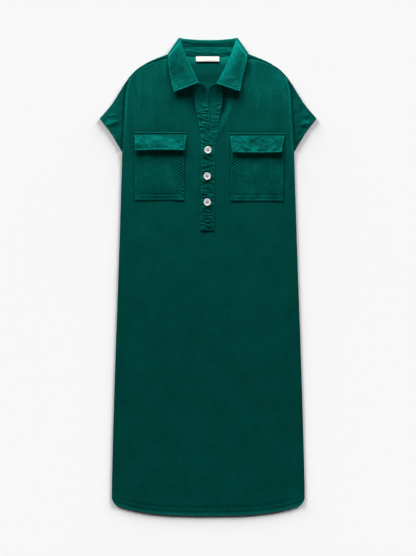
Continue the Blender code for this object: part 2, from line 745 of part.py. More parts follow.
def build_button(name, centre, material, collection, cutters):
    """A turned disc with a raised rim and a dish, cut with four holes."""
    rim = BUTTON_RADIUS - BUTTON_RIM
    dish = BUTTON_THICK - BUTTON_DISH
    profile = [
        (0.0, dish),
        (rim * 0.8, dish),
        (rim, dish + BUTTON_DISH * 0.6),
        (BUTTON_RADIUS - BUTTON_RIM / 2, BUTTON_THICK),
        (BUTTON_RADIUS - 0.3, BUTTON_THICK - 0.6),
        (BUTTON_RADIUS, BUTTON_THICK / 2),
        (BUTTON_RADIUS - 1.0, 0.3),
        (BUTTON_RADIUS - 2.2, 0.0),
        (0.0, 0.0),
    ]
    data = bpy.data.meshes.new(name)
    verts = [(radius * MM, 0.0, height * MM) for radius, height in profile]
    data.from_pydata(verts, [(index, index + 1) for index in range(len(verts) - 1)], [])
    data.materials.append(material)
    item = bpy.data.objects.new(name, data)
    item.location = Vector((centre.x, centre.y, BUTTON_BASE)) * MM
    collection.objects.link(item)
    screw = item.modifiers.new("Turned", "SCREW")
    screw.steps = screw.render_steps = BUTTON_SIDES
    screw.use_merge_vertices = True
    screw.merge_threshold = 0.0001
    screw.use_smooth_shade = True

    cutter = hole_cutter(cutters)
    cutter.name = name + "_holes"
    cutter.location = item.location
    cut = item.modifiers.new("Holes", "BOOLEAN")
    cut.operation = "DIFFERENCE"
    cut.object = cutter


def build_label(material, collection):
    """The woven label, sewn over the seam of the back neckline."""
    mesh = bmesh.new()
    rows = []
    for y in (LABEL_LOW, (LABEL_LOW + LABEL_TOP) / 2, LABEL_TOP):
        rows.append([
            (LABEL_LEFT + (LABEL_RIGHT - LABEL_LEFT) * u, y, LABEL_LEVEL) for u in even(4)
        ])
    skin(mesh, add_rows(mesh, rows))
    new_cloth("neck_label", mesh, STRIP, material, collection)


def new_collection(name):
    collection = bpy.data.collections.new(name)
    bpy.context.scene.collection.children.link(collection)
    return collection


def main():
    for item in list(bpy.data.objects):
        bpy.data.objects.remove(item, do_unlink=True)
    dress = new_collection("shirt_dress")
    cutters = new_collection("cutters")
    linen = new_material("linen", LINEN, 0.85)
    crisp = new_material("linen_collar", LINEN_COLLAR, 0.8)
    shell = new_material("button_shell", SHELL_WHITE, 0.3)
    woven = new_material("label_tape", LABEL_WHITE, 0.6)

    build_back(linen, dress)
    build_front(linen, dress)
    build_sleeve("sleeve_left", -1, linen, dress)
    build_sleeve("sleeve_right", 1, linen, dress)
    build_fall(crisp, dress)
    build_stand(crisp, dress)
    build_placket(linen, dress)
    build_pockets(linen, dress)
    for name, centre in BUTTONS.items():
        build_button(name, centre, shell, dress, cutters)
    build_label(woven, dress)


main()
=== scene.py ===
"""Short-sleeved linen shirt dress, laid flat: its cloth, sewing, buttons, label and stage.

Plan sizes in the tables are millimetres on the frame's own axes, scaled by MM when a mesh
is made: +X to the viewer's right, +Y from hem to collar, +Z up. Left and right are the
viewer's. Settings that a user would change are in metres in the property groups.
"""
import json
import math
from collections import namedtuple

import bmesh
import bpy
import numpy as np
from bpy.props import FloatProperty, FloatVectorProperty, IntProperty, PointerProperty
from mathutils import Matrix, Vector

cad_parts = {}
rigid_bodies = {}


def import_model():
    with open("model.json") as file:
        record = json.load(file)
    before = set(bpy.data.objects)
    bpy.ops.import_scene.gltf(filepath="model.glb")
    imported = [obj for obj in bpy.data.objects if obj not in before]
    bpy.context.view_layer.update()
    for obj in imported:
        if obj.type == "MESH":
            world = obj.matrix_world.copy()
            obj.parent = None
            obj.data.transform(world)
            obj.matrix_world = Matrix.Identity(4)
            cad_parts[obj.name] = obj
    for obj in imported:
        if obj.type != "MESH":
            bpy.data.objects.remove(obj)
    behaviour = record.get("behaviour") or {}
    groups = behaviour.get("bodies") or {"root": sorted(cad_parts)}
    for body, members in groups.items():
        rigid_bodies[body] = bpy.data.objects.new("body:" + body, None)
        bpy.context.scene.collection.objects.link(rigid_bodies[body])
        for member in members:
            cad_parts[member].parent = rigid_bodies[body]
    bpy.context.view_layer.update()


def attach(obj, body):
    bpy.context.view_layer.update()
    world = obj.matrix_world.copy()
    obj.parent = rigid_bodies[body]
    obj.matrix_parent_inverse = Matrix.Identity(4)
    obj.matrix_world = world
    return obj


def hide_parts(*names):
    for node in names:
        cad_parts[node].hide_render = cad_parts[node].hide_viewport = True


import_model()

bl_info = {
    "name": "Linen shirt dress",
    "version": (1, 0, 0),
    "blender": (4, 5, 0),
    "location": "3D View > Sidebar > Dress",
    "description": "Makes the cloth, sewing, buttons and stage of a shirt dress laid flat",
    "category": "Add Mesh",
}

MM = 0.001
BODY = "root"

# ================================================================ sizes of the pattern
Point = namedtuple("Point", "x y")
Outline = namedtuple("Outline", "x y wrap")
Row = namedtuple("Row", "inner_x inner_y outer_y step")
Profile = namedtuple("Profile", "distance height")
Crease = namedtuple("Crease", "x0 y0 x1 y1 width height")
Section = namedtuple("Section", "upper_x upper_y lower_x lower_y upper_z lower_z")
Patch = namedtuple("Patch", "side top_in top_out top_y low_in low_out low_y")
# the last field holds rubbed wear and painted highlights above 0, and painted shade below 0
Sheet = namedtuple("Sheet", "points flat wear")


def table(kind, *rows):
    """Rows of numbers as a list of named tuples."""
    return [kind(*map(float, row)) for row in rows]


VIEW_HEIGHT = 4000.0        # the camera's distance: the raised leaves are drawn in for it
WALL = 1.2                  # wall of the panels in the frame
BACK_LEVEL = 0.6
RAISED_LEVEL = 2.1          # the back panel where it lies on the collar
FRONT_LEVEL = 3.9
ON_FRONT = 5.3              # strips and pockets that lie on the front
STEP_UP = 1.3
SHOULDER_LEVEL = 4.4
SEAM_GAP = 0.4

HEM_Y = -621.5
HEM_RISE = 23.9
HEM_CURVE_X = 233.0
CORNER_RISE = 15.0
HEM_HALF = 251.0
HEM_BAND = 14.5             # depth of the turned hem

# half width of the body, from the hem up to the shoulder
SIDE_EDGE = table(Point,
    (251, -577), (250.4, -530), (243.2, -270), (232.2, 42), (226.5, 220), (223.5, 327),
    (222, 370), (219.5, 407), (217.5, 445), (214, 485), (206.3, 512.6))
ARMHOLE = SIDE_EDGE[5:]
BACK_NECK = table(Point, (0, 570.6), (34, 571.1), (73, 576))
# the shoulder's edge, and how far the back wraps over it
SHOULDER = table(Outline,
    (97, 581.5, 13.5), (108, 578, 11), (129, 570, 7), (148.5, 562, 5.2), (164, 554, 4.2),
    (187, 538.6, 3.6), (201.5, 523.5, 3.6), (208.3, 515.4, 3.6))
# inner end, outer end, and the spacing of the rows up to it
FRONT_ROWS = table(Row,
    (0, HEM_Y, -577, 2.2), (0, HEM_Y + 27, -550, 2.2), (0, 124, 124, 6.3), (11, 129, 132, 2.5),
    (11, 255, 258, 3.4), (12, 320, 327, 3.4), (14, 362, 365, 3.2), (21, 405, 400, 2.9),
    (28, 445, 430, 2.8), (33, 476, 455, 2.8), (36, 497, 472, 2.8), (48, 510, 484, 2.8),
    (60, 522, 492, 2.8), (72, 535, 499, 2.8), (83, 551, 506, 2.8))
FRONT_COLUMNS = [(0.24, 2.7), (0.76, 4.3), (1.0, 2.5)]     # share of the width, spacing
BACK_ROWS = table(Row,
    (0, HEM_Y, -577, 12), (0, 327, 327, 14), (0, 440, 415, 8), (0, 485, 450, 4),
    (0, 520, 478, 3), (0, 547, 497, 2.2))

# height of the front by its distance from the side seam
SIDE_PROFILE = table(Profile,
    (0, 2.1), (3, 3), (9, 3.7), (20, FRONT_LEVEL))
# and from the hem: the turned band stands a little proud
HEM_PROFILE = table(Profile,
    (0, 2.1), (2.2, 3.7), (4.5, 4.1), (9.5, 3.2), (12.5, 3.8), (15, 3.8), (18, 3.3), (28, 4),
    (40, FRONT_LEVEL))
NECK_CENTRE = Point(0.0, 600.0)
NECK_RADII = Point(135.0, 75.0)
NECK_FULL = 0.95
NECK_END = 1.3

SLEEVE_TOP = table(Point,
    (206.9, 516.4), (218.4, 499.6), (237.6, 468.4), (247.6, 452.8), (259.7, 437.2),
    (273.4, 421.6), (282.4, 411.2))
SLEEVE_TUCK = 3.8           # how far the sleeve's top reaches under the shoulder
SLEEVE_UNDER = table(Point, (224.2, 338), (226.6, 328))
CUFF = table(Point,
    (282.4, 411.2), (266, 390.4), (254.3, 374.8), (244.7, 359.2), (235.8, 343.6), (226.6, 328))
SLEEVE_CREASES = {
    -1: table(Crease,
        (-272, 392, -226, 402, 12, 2.4), (-264, 416, -234, 424, 8, 1.1),
        (-250, 372, -224, 344, 10, 0.9)),
    1: table(Crease,
        (232, 392, 276, 398, 13, 2.4), (240, 414, 270, 424, 8, 0.9),
        (226, 350, 252, 372, 10, 0.9)),
}
# upper layer's height from the armhole to the cuff
SLEEVE_STATIONS = table(Profile,
    (0, 2.3), (0.05, 2.4), (0.14, 3.8), (0.45, 4.3), (0.65, 4.1), (0.80, 3.7), (0.845, 3.3),
    (0.90, 4.1), (1, 3.7))
SLEEVE_ALONG = 44
SLEEVE_ACROSS = 96

LEFT_LEAF = table(Section,
    (25, 504, 88, 480, 15.6, 6), (35, 524, 95, 502, 14.8, 6), (46, 546, 100, 524, 13.2, 6),
    (58, 572, 103, 547, 11, 6.6), (67, 596, 104, 566, 9.2, 7.6))
RIGHT_LEAF = table(Section,
    (22.5, 501.5, 82.8, 481.4, 15.6, 6), (32.5, 519.5, 86.5, 500, 14.8, 6),
    (44, 541, 91.5, 521, 13.2, 6), (57.5, 572, 97.5, 547, 11, 6.6),
    (67, 596, 101.5, 567, 9.2, 7.6))
FALL_FOLD = (Point(76.3, 621.5), Point(104.2, 581.8))
FALL_BACK = table(Section,
    (70.5, 618.4, 82.5, 574.6, BACK_LEVEL, BACK_LEVEL),
    (64, 616.8, 74, 572.5, BACK_LEVEL, BACK_LEVEL), (46, 615, 50, 566.5, BACK_LEVEL, BACK_LEVEL),
    (24, 613.5, 25, 563.8, BACK_LEVEL, BACK_LEVEL), (0, 613, 0, 563, BACK_LEVEL, BACK_LEVEL))
ROLL_TOP = 5.0              # height of the roll behind the neck
STAND_LIFT = 0.8            # how far the stand's top edge is carried up by the roll
ROLL_DEPTH = 2.0            # how far it stands out behind its lower edge
FALL_SEAM_Y = 598.0
STAND_FRONT = table(Section,
    (39, 528, 57, 514, 10.6, 9.6), (46.5, 546, 70, 530, 9.8, 7.6), (61, 572, 85, 553, 7.6, 5.8),
    (70, 590, 93, 572, 6.6, 6.2))
STAND_FOLD = (Point(76.0, 599.6), Point(96.0, 588.0))
STAND_BACK = table(Section,
    (66, 597.2, 73, 576.8, RAISED_LEVEL, RAISED_LEVEL),
    (34, 597.2, 34, 571.9, RAISED_LEVEL, RAISED_LEVEL),
    (0, 597.2, 0, 571.3, RAISED_LEVEL, RAISED_LEVEL))
FOLD_STEPS = 10             # rows round a folded edge
LEAF_STEP = 1.0             # spacing of the rows along the collar
LEAF_COLUMNS = 48
STAND_COLUMNS = 20
ROLL_RADIUS = 1.0           # how the leaf turns under along its roll edge

OVER_LEFT = table(Point, (-20, 119), (-20, 350), (-24, 392), (-31.5, 433), (-39.5, 478), (-40, 505))
OVER_RIGHT = table(Point,
    (15.9, 119), (14.8, 325), (8.6, 363), (3.4, 400), (-0.5, 446), (-2.6, 485))
OVER_TOP = table(Point, (-40, 505), (-25, 503), (-9.4, 495.4), (-2.6, 485))
OVER_BOTTOM = table(Point, (-20, 119), (15.9, 119))
UNDER_LEFT = table(Point, (-13, 123), (-13, 329), (-10.5, 363), (-3, 446), (1.6, 488))
UNDER_RIGHT = table(Point,
    (17.4, 123), (18.2, 329), (23.9, 372), (29.6, 412), (38.2, 462), (38.5, 502))
UNDER_TOP = table(Point, (1.6, 488), (7.3, 495.4), (22.4, 501), (38.5, 502))
UNDER_BOTTOM = table(Point, (-13, 123), (17.4, 123))
PLACKET_STEP = 1.35
STRIP_WIDTH = 36.0
STRIP_LENGTH = 386.0
OVER_FOOT = 119.0           # where the strips end, above the middle of the dress
UNDER_FOOT = 123.0
LIFT_START = 9.0            # the upper strip starts to climb this far before the lower one
LIFT_WIDTH = 5.0

POCKETS = [
    Patch(-1, 63.0, 190.5, 352.0, 63.0, 190.5, 198.5),
    Patch(1, 59.0, 196.0, 350.0, 59.0, 196.0, 196.7),
]
FLAPS = [
    Patch(-1, 55.0, 193.0, 376.0, 61.6, 189.0, 327.3),
    Patch(1, 55.4, 200.5, 373.5, 61.9, 190.8, 322.5),
]
POCKET_STEP = 1.35
FLAP_STEP = 1.2
FLAP_RISE = 7.2             # how far the flap's lower edge stands above its seam

BUTTONS = [
    ("button_top", Point(-0.8, 328.8)),
    ("button_middle", Point(-2.6, 260.7)),
    ("button_bottom", Point(-2.3, 193.1)),
]
BUTTON_BASE = 7.4
LABEL_LEFT = -31.8
LABEL_RIGHT = 28.9
LABEL_TOP = 572.2
LABEL_LOW = 558.9
LABEL_LEVEL = 4.0

# ================================================================ creases laid one by one
# soft ridges (+) and troughs (-) in the front
FRONT_CREASES = table(Crease,
    (-171, 545, -167, 395, 12, -1.3), (-181, 538, -177, 410, 9, 0.7),
    (-192, 530, -186, 425, 11, -1), (-155, 520, -150, 380, 26, 0.5),
    (-128, 500, -132, 390, 30, -0.35), (-60, 478, -38, 372, 22, -0.9),
    (-72, 470, -50, 340, 30, 0.9), (66, 462, 21, 358, 17, 1.9), (52, 470, 30, 400, 16, -1.2),
    (92, 470, 60, 380, 36, -0.5), (176, 540, 190, 400, 24, 0.6), (98, 567, 122, 558, 5, -1.8),
    (98, 561, 126, 551, 6, 1), (205, 500, 209, 350, 10, 0.7), (-209, 470, -212, 330, 10, 0.6),
    (-150, -60, -165, -430, 90, 0.7), (60, 60, 48, -380, 100, -0.6),
    (172, -20, 190, -400, 80, 0.7), (226, 200, 238, -380, 12, 0.5),
    (214, 190, 226, -360, 12, -0.5), (-226, 160, -236, -330, 14, 0.4),
    (205, -560, 243, -590, 12, 0.9), (214, -542, 246, -572, 9, 0.8),
    (222, -528, 246, -556, 7, -0.7))
# the same on the collar's leaves
LEAF_CREASES = {
    -1: table(Crease,
        (-60, 498, -34, 512, 9, 0.8), (-78, 512, -56, 520, 12, -0.5),
        (-84, 560, -66, 536, 22, 0.6), (-86, 552, -28, 532, 50, 2.4)),
    1: table(Crease,
        (50, 500, 78, 508, 12, -0.6), (44, 512, 74, 522, 10, 0.7), (66, 560, 80, 520, 20, 0.5)),
}


# ================================================================ settings for the user
class ClothSettings(bpy.types.PropertyGroup):
    wall: FloatProperty(
        name="Cloth", description="Thickness of one layer of linen",
        default=0.0009, min=0.0003, max=0.002, precision=4, unit="LENGTH")
    doubled: FloatProperty(
        name="Doubled cloth", description="Thickness of the collar, flaps and placket",
        default=0.0011, min=0.0005, max=0.003, precision=4, unit="LENGTH")
    pucker: FloatProperty(
        name="Puckers", description="How strongly the seams draw the cloth up",
        default=1.0, min=0.0, max=2.0, subtype="FACTOR")
    weave: FloatProperty(
        name="Thread spacing", description="Distance between two threads of the weave",
        default=0.0006, min=0.0002, max=0.003, precision=5, unit="LENGTH")
    linen: FloatVectorProperty(
        name="Linen", description="Colour of the cloth", subtype="COLOR",
        default=(0.0006, 0.088, 0.0715), min=0.0, max=1.0)
    # lighter colour for rubbed edges, and also for painted highlights
    worn_and_painted_light: FloatVectorProperty(
        name="Worn edges", description="Colour of the cloth where its edges are rubbed",
        subtype="COLOR", default=(0.0012, 0.178, 0.149), min=0.0, max=1.0)
    shell: FloatVectorProperty(
        name="Buttons", description="Colour of the buttons", subtype="COLOR",
        default=(0.96, 0.965, 0.96), min=0.0, max=1.0)
    tape: FloatVectorProperty(
        name="Label", description="Colour of the neck label", subtype="COLOR",
        default=(0.86, 0.84, 0.79), min=0.0, max=1.0)


class StitchSettings(bpy.types.PropertyGroup):
    pitch: FloatProperty(
        name="Pitch", description="Distance from one stitch to the next",
        default=0.0032, min=0.001, max=0.01, precision=4, unit="LENGTH")
    length: FloatProperty(
        name="Length", description="Length of a stitch that shows",
        default=0.0024, min=0.0005, max=0.01, precision=4, unit="LENGTH")
    width: FloatProperty(
        name="Width", description="Thickness of the thread",
        default=0.00055, min=0.0001, max=0.002, precision=5, unit="LENGTH")
    seed: IntProperty(
        name="Seed", description="Picks how the stitches vary", default=7, min=0)


class ButtonSettings(bpy.types.PropertyGroup):
    radius: FloatProperty(
        name="Radius", description="Radius of a button",
        default=0.0094, min=0.004, max=0.02, precision=4, unit="LENGTH")
    height: FloatProperty(
        name="Height", description="Height of a button",
        default=0.0030, min=0.001, max=0.008, precision=4, unit="LENGTH")
    rim: FloatProperty(
        name="Rim", description="Width of the raised rim",
        default=0.0023, min=0.0005, max=0.005, precision=4, unit="LENGTH")
    hole: FloatProperty(
        name="Hole", description="Radius of a hole",
        default=0.0011, min=0.0004, max=0.003, precision=4, unit="LENGTH")
    hole_spacing: FloatProperty(
        name="Hole spacing", description="From the middle to a hole, across and along",
        default=0.00175, min=0.0008, max=0.004, precision=5, unit="LENGTH")


class StageSettings(bpy.types.PropertyGroup):
    lens: FloatProperty(
        name="Lens", description="Focal length of the camera in millimetres",
        default=100.0, min=35.0, max=300.0)
    framed: FloatProperty(
        name="Framed height", description="Height of the picture on the cloth",
        default=1.4456, min=0.5, max=5.0, unit="LENGTH")
    floor: FloatVectorProperty(
        name="Floor", description="Colour of the floor", subtype="COLOR",
        default=(0.93, 0.93, 0.93), min=0.0, max=1.0)
    key: FloatProperty(
        name="Key light", description="Power of the low light above the collar", default=80.0,
        min=0.0, unit="POWER")
    ambient: FloatProperty(
        name="Surroundings", description="Brightness of the white surroundings",
        default=0.03, min=0.0, max=2.0)
    far: FloatProperty(
        name="Far light", description="Strength of the low light from far off",
        default=0.5, min=0.0)
    fill: FloatProperty(
        name="Fill light", description="Power of the light below the hem", default=13.5,
        min=0.0, unit="POWER")


SETTINGS = {
    "dress_cloth": ClothSettings,
    "dress_stitch": StitchSettings,
    "dress_button": ButtonSettings,
    "dress_stage": StageSettings,
}


# ================================================================ curves and heights
def ease(value):
    """0 below 0, 1 above 1, and an S between them."""
    share = np.clip(value, 0.0, 1.0)
    return share * share * (3.0 - 2.0 * share)


def read_profile(profile, distance):
    """Height at a distance from an edge, eased from row to row."""
    heights = np.full(np.shape(distance), profile[0].height)
    for near, far in zip(profile, profile[1:]):
        share = (distance - near.distance) / (far.distance - near.distance)
        heights = heights + (far.height - near.height) * ease(share)
    return heights


def lengths_along(points):
    """How far along a line of points each of them is."""
    steps = np.linalg.norm(np.diff(points, axis=0), axis=1)
    return np.concatenate([[0.0], np.cumsum(steps)])


def smooth_line(points, shares):
    """Points on a smooth curve through the given ones, at shares of its length."""
    line = np.array([tuple(point)[:2] if len(point) < 4 else tuple(point) for point in points])
    reach = lengths_along(line)
    slopes = np.empty_like(line)
    for index in range(len(line)):
        low, high = max(index - 1, 0), min(index + 1, len(line) - 1)
        slopes[index] = (line[high] - line[low]) / (reach[high] - reach[low])
    distance = np.asarray(shares, float) * reach[-1]
    at = np.clip(np.searchsorted(reach, distance, side="right") - 1, 0, len(line) - 2)
    span = (reach[at + 1] - reach[at])[:, None]
    t = (distance - reach[at])[:, None] / span
    return (
        line[at] * (2 * t**3 - 3 * t**2 + 1)
        + slopes[at] * span * (t**3 - 2 * t**2 + t)
        + line[at + 1] * (3 * t**2 - 2 * t**3)
        + slopes[at + 1] * span * (t**3 - t**2)
    )


def shares_of(points):
    """How far along a line of points each of them is, from 0 to 1."""
    reach = lengths_along(points)
    return reach / reach[-1]


def even(count):
    return np.linspace(0.0, 1.0, count + 1)


def graded(columns, width):
    """Shares from 0 to 1 whose spacing follows rows of (share reached, spacing)."""
    shares = [0.0]
    for reached, spacing in columns:
        count = max(1, round((reached - shares[-1]) * width / spacing))
        shares += list(np.linspace(shares[-1], reached, count + 1)[1:])
    return np.array(shares)


def finer(rows):
    """Rows of (inner x, inner y, outer y) at the spacing that each table row gives."""
    fine = [rows[0][:3]]
    for near, far in zip(rows, rows[1:]):
        gap = max(abs(far.inner_y - near.inner_y), abs(far.outer_y - near.outer_y))
        count = max(1, round(gap / far.step))
        for share in even(count)[1:]:
            fine.append(tuple(a + (b - a) * share for a, b in zip(near[:3], far[:3])))
    return np.array(fine)


def coons(first, last, start, end, along, across):
    """Rows of plan points between four edges: rows run from first to last."""
    u = across[None, :, None]
    v = along[:, None, None]
    ruled = start[:, None] * (1 - u) + end[:, None] * u
    ruled = ruled + first[None] * (1 - v) + last[None] * v
    corners = (first[0] * (1 - u) + first[-1] * u) * (1 - v)
    corners = corners + (last[0] * (1 - u) + last[-1] * u) * v
    return ruled - corners


def hem_y(x):
    """The hem's curve, with its rounded corner."""
    curve = HEM_RISE * (np.abs(x) / HEM_CURVE_X) ** 3
    past = np.maximum(np.abs(x) - HEM_CURVE_X, 0.0) / (HEM_HALF - HEM_CURVE_X)
    return HEM_Y + curve + CORNER_RISE * past**3


EDGE_LINE = smooth_line(SIDE_EDGE, even(120))


def edge_x(y):
    """Half width of the body at a height, along its side seam and armhole."""
    return np.interp(y, EDGE_LINE[:, 1], EDGE_LINE[:, 0])


def uneven(x, y, size_x, size_y, seed):
    """Smooth uneven heights between -1 and 1, about size_x by size_y apart."""
    table = np.random.default_rng(seed).uniform(-1.0, 1.0, (61, 67))
    turn = 0.37 + 0.61 * (seed % 7)
    across = (x * math.cos(turn) + y * math.sin(turn)) if size_x == size_y else x
    down = (y * math.cos(turn) - x * math.sin(turn)) if size_x == size_y else y
    across, down = across / size_x + 500.3, down / size_y + 500.7
    column, row = np.floor(across).astype(int), np.floor(down).astype(int)
    u, v = ease(across - column), ease(down - row)
    column, row = column % 61, row % 67
    after, above = (column + 1) % 61, (row + 1) % 67
    low = table[column, row] * (1 - u) + table[after, row] * u
    high = table[column, above] * (1 - u) + table[after, above] * u
    return low * (1 - v) + high * v


def rumple(x, y, size, seed):
    """Three sizes of unevenness, for cloth that has been washed and pressed."""
    large = uneven(x, y, size, size, seed)
    middle = uneven(x, y, size * 0.47, size * 0.47, seed + 1)
    small = uneven(x, y, size * 0.21, size * 0.21, seed + 2)
    return 0.55 * large + 0.3 * middle + 0.15 * small


def wrinkled(x, y, long, short, slant, seed):
    """Wrinkles that run across x, -1 to 1: long and short are their length and width."""
    bend = 1.4 * short * uneven(x, y, long * 0.6, short * 3.1, seed + 1)
    return uneven(x + 0.3 * y, y + slant * x + bend, long, short, seed)


def crease_height(creases, x, y):
    """What hand-laid creases add to the height of a piece."""
    total = np.zeros(np.shape(x))
    for number, crease in enumerate(creases):
        run, rise = crease.x1 - crease.x0, crease.y1 - crease.y0
        length = math.hypot(run, rise)
        along = ((x - crease.x0) * run + (y - crease.y0) * rise) / length**2
        wander = uneven(along * length, along * 0.0, 45.0, 46.0, 300 + number)
        across = (run * (y - crease.y0) - rise * (x - crease.x0)) / length
        across = across - wander * crease.width * 0.25
        ends = np.sin(math.pi * np.clip(along, 0.0, 1.0)) ** 0.8
        total = total + crease.height * ends * np.exp(-((across / (crease.width * 0.42)) ** 2))
    return total


class Seam:
    """A seam's line in plan, which puckers and ridges follow."""

    def __init__(self, points, smooth=True):
        points = np.array([tuple(point)[:2] for point in points], float)
        self.line = smooth_line(points, even(4 * len(points))) if smooth else points
        self.reach = lengths_along(self.line)

    def place(self, x, y):
        """How far along the seam each point is, and how far from it."""
        near = np.full(np.shape(x), 1e9)
        along = np.zeros(np.shape(x))
        for start, end, reach in zip(self.line, self.line[1:], self.reach):
            run, rise = end - start
            length = math.hypot(run, rise)
            share = ((x - start[0]) * run + (y - start[1]) * rise) / length**2
            share = np.clip(share, 0.0, 1.0)
            gap = np.hypot(x - start[0] - share * run, y - start[1] - share * rise)
            closer = gap < near
            near = np.where(closer, gap, near)
            along = np.where(closer, reach + share * length, along)
        return along, near


def drawn(along, away, spacing, reach, seed, slant=0.0, end_share=0.35):
    """Puckers across a seam, -1 to 1: uneven in spacing, depth and length."""
    rng = np.random.default_rng(seed)
    longest = float(np.max(along)) + 4 * spacing
    count = int(longest / spacing) + 4
    gaps = rng.uniform(0.55, 1.5, 2 * count) * spacing / 2
    knots = np.cumsum(gaps) - 3 * spacing
    sizes = rng.uniform(0.3, 1.0, 2 * count) * np.tile([1.0, -1.0], count)
    fine = np.arange(knots[0], knots[-1], spacing / 12)
    at = np.clip(np.searchsorted(knots, fine, side="right") - 1, 0, len(knots) - 2)
    share = ease((fine - knots[at]) / (knots[at + 1] - knots[at]))
    wave = sizes[at] * (1 - share) + sizes[at + 1] * share
    lean = slant * np.interp(along, knots, rng.uniform(-1.0, 1.0, len(knots)))
    place = along + lean * away
    lengths = np.interp(place, knots, rng.uniform(end_share, 1.3, len(knots)))
    fade = np.clip(1.0 - away / (reach * lengths), 0.0, 1.0)
    return np.interp(place, fine, wave) * fade**1.4


def gathered(along, away, pitch, reach, seed, slant=0.0):
    """Short, nearly even gathers across a seam, -1 to 1, that lean one way or the other."""
    none = along * 0.0
    turns = along / pitch + 0.4 * uneven(along, none, 2.7 * pitch, 46.0, seed)
    lean = slant * away / pitch
    up = ease(0.5 + 1.6 * uneven(along, none, 3.3 * pitch, 46.0, seed + 2))
    wave = up * np.sin(2 * math.pi * (turns + lean))
    wave = wave + (1 - up) * np.sin(2 * math.pi * (turns - lean))
    size = 0.7 + 0.3 * uneven(along, none, 1.9 * pitch, 46.0, seed + 1)
    ends = reach * (0.8 + 0.4 * uneven(along, none, 1.3 * pitch, 46.0, seed + 3))
    return size * wave * np.clip(1.3 - 1.3 * away / ends, 0.0, 1.0)


def ridge(away, centre, width):
    """1 on a line at a distance from a seam, fading to 0 at its sides."""
    return np.exp(-(((away - centre) / width) ** 2))


def laid(x, y, z, wear):
    """A sheet over a plan grid, whose flat cloth coordinates are the plan itself."""
    return Sheet(np.stack([x, y, z], axis=2), np.stack([x, y], axis=2), wear)


def crests(z, reach):
    """How far each point of a grid stands above the points round it, in mm."""
    rows, columns = z.shape
    padded = np.pad(z, reach, mode="edge")
    size = 2 * reach + 1
    total = sum(padded[row:row + rows, column:column + columns]
                for row in range(size) for column in range(size))
    return z - total / size**2


# ================================================================ meshes and materials
def new_mesh_object(name, data, collection="shirt_dress"):
    item = bpy.data.objects.new(name, data)
    target = bpy.data.collections.get(collection)
    if target is None:
        target = bpy.data.collections.new(collection)
        bpy.context.scene.collection.children.link(target)
    target.objects.link(item)
    return item


def mesh_data(name, mesh, smooth=False):
    """A bmesh made into mesh data, and freed."""
    data = bpy.data.meshes.new(name)
    mesh.to_mesh(data)
    mesh.free()
    if smooth:
        data.shade_smooth()
    return data


def new_cloth(name, sheets, wall, material):
    """A piece of cloth from grids of points through the middle of its wall.

    Grids that meet share their points. The flat place of each point goes to the UV map
    cloth, in metres, and its value of rubbed wear, painted highlight and painted shade to a float
    attribute.
    """
    mesh = bmesh.new()
    flat_map = mesh.loops.layers.uv.new("cloth")
    worn_and_painted_light = mesh.verts.layers.float.new("wear")
    for sheet in sheets:
        rows, columns = sheet.points.shape[:2]
        verts = []
        for point, wear in zip(sheet.points.reshape(-1, 3) * MM, sheet.wear.reshape(-1)):
            vert = mesh.verts.new(point)
            vert[worn_and_painted_light] = wear
            verts.append(vert)
        flat = sheet.flat.reshape(-1, 2) * MM
        for row in range(rows - 1):
            for column in range(columns - 1):
                low = row * columns + column
                corners = (low, low + 1, low + columns + 1, low + columns)
                face = mesh.faces.new([verts[corner] for corner in corners])
                face.smooth = True
                for loop, corner in zip(face.loops, corners):
                    loop[flat_map].uv = flat[corner]
    bmesh.ops.remove_doubles(mesh, verts=mesh.verts, dist=0.00001)
    bmesh.ops.recalc_face_normals(mesh, faces=mesh.faces)
    data = mesh_data(name, mesh)
    data.materials.append(material)
    item = new_mesh_object(name, data)
    solidify = item.modifiers.new("Wall", "SOLIDIFY")
    solidify.thickness = wall
    solidify.offset = 0.0
    return item


def finish_cloth(item, nodes):
    """Attaches a piece of cloth to the body and hides the parts of the model that it replaces."""
    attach(item, BODY)
    if nodes:
        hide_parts(*nodes)


def feed(tree, node, inputs):
    """Link or set a node's sockets: a dictionary of name or number to socket or value."""
    for key, value in inputs.items():
        if isinstance(value, bpy.types.NodeSocket):
            tree.links.new(value, node.inputs[key])
        else:
            node.inputs[key].default_value = value


def add_node(tree, kind, place, inputs=None, **values):
    """A node at a column and row, with its own settings and what feeds its sockets."""
    node = tree.nodes.new(kind)
    node.location = (place[0] * 200, place[1] * -180)
    for key, value in values.items():
        setattr(node, key, value)
    feed(tree, node, inputs or {})
    return node


def math_node(tree, operation, place, *terms):
    """What a Math node gives for its terms, which are sockets or numbers."""
    node = add_node(tree, "ShaderNodeMath", place, dict(enumerate(terms)), operation=operation)
    return node.outputs[0]


def colour_mix(tree, place, factor, first, second):
    """What a Mix node gives for two plain colours."""
    node = add_node(tree, "ShaderNodeMix", place, {
        "Factor": factor, 6: (*first, 1.0), 7: (*second, 1.0)}, data_type="RGBA")
    return node.outputs[2]


def bump(tree, place, height, strength, distance):
    """The normal that a Bump node makes of a height."""
    return add_node(tree, "ShaderNodeBump", place, {
        "Height": height, "Strength": strength, "Distance": distance}).outputs[0]


def new_group(name, inputs, outputs, kind="ShaderNodeTree"):
    """A node group with named sockets: rows of (name, type, default)."""
    group = bpy.data.node_groups.new(name, kind)
    for in_out, rows in (("INPUT", inputs), ("OUTPUT", outputs)):
        for label, socket_type, default in rows:
            socket = group.interface.new_socket(label, in_out=in_out, socket_type=socket_type)
            if default is not None:
                socket.default_value = default
    return group


def new_material(name):
    """A material with nodes, its node tree and its shader."""
    material = bpy.data.materials.new(name)
    material.use_nodes = True
    tree = material.node_tree
    return material, tree, tree.nodes["Principled BSDF"]


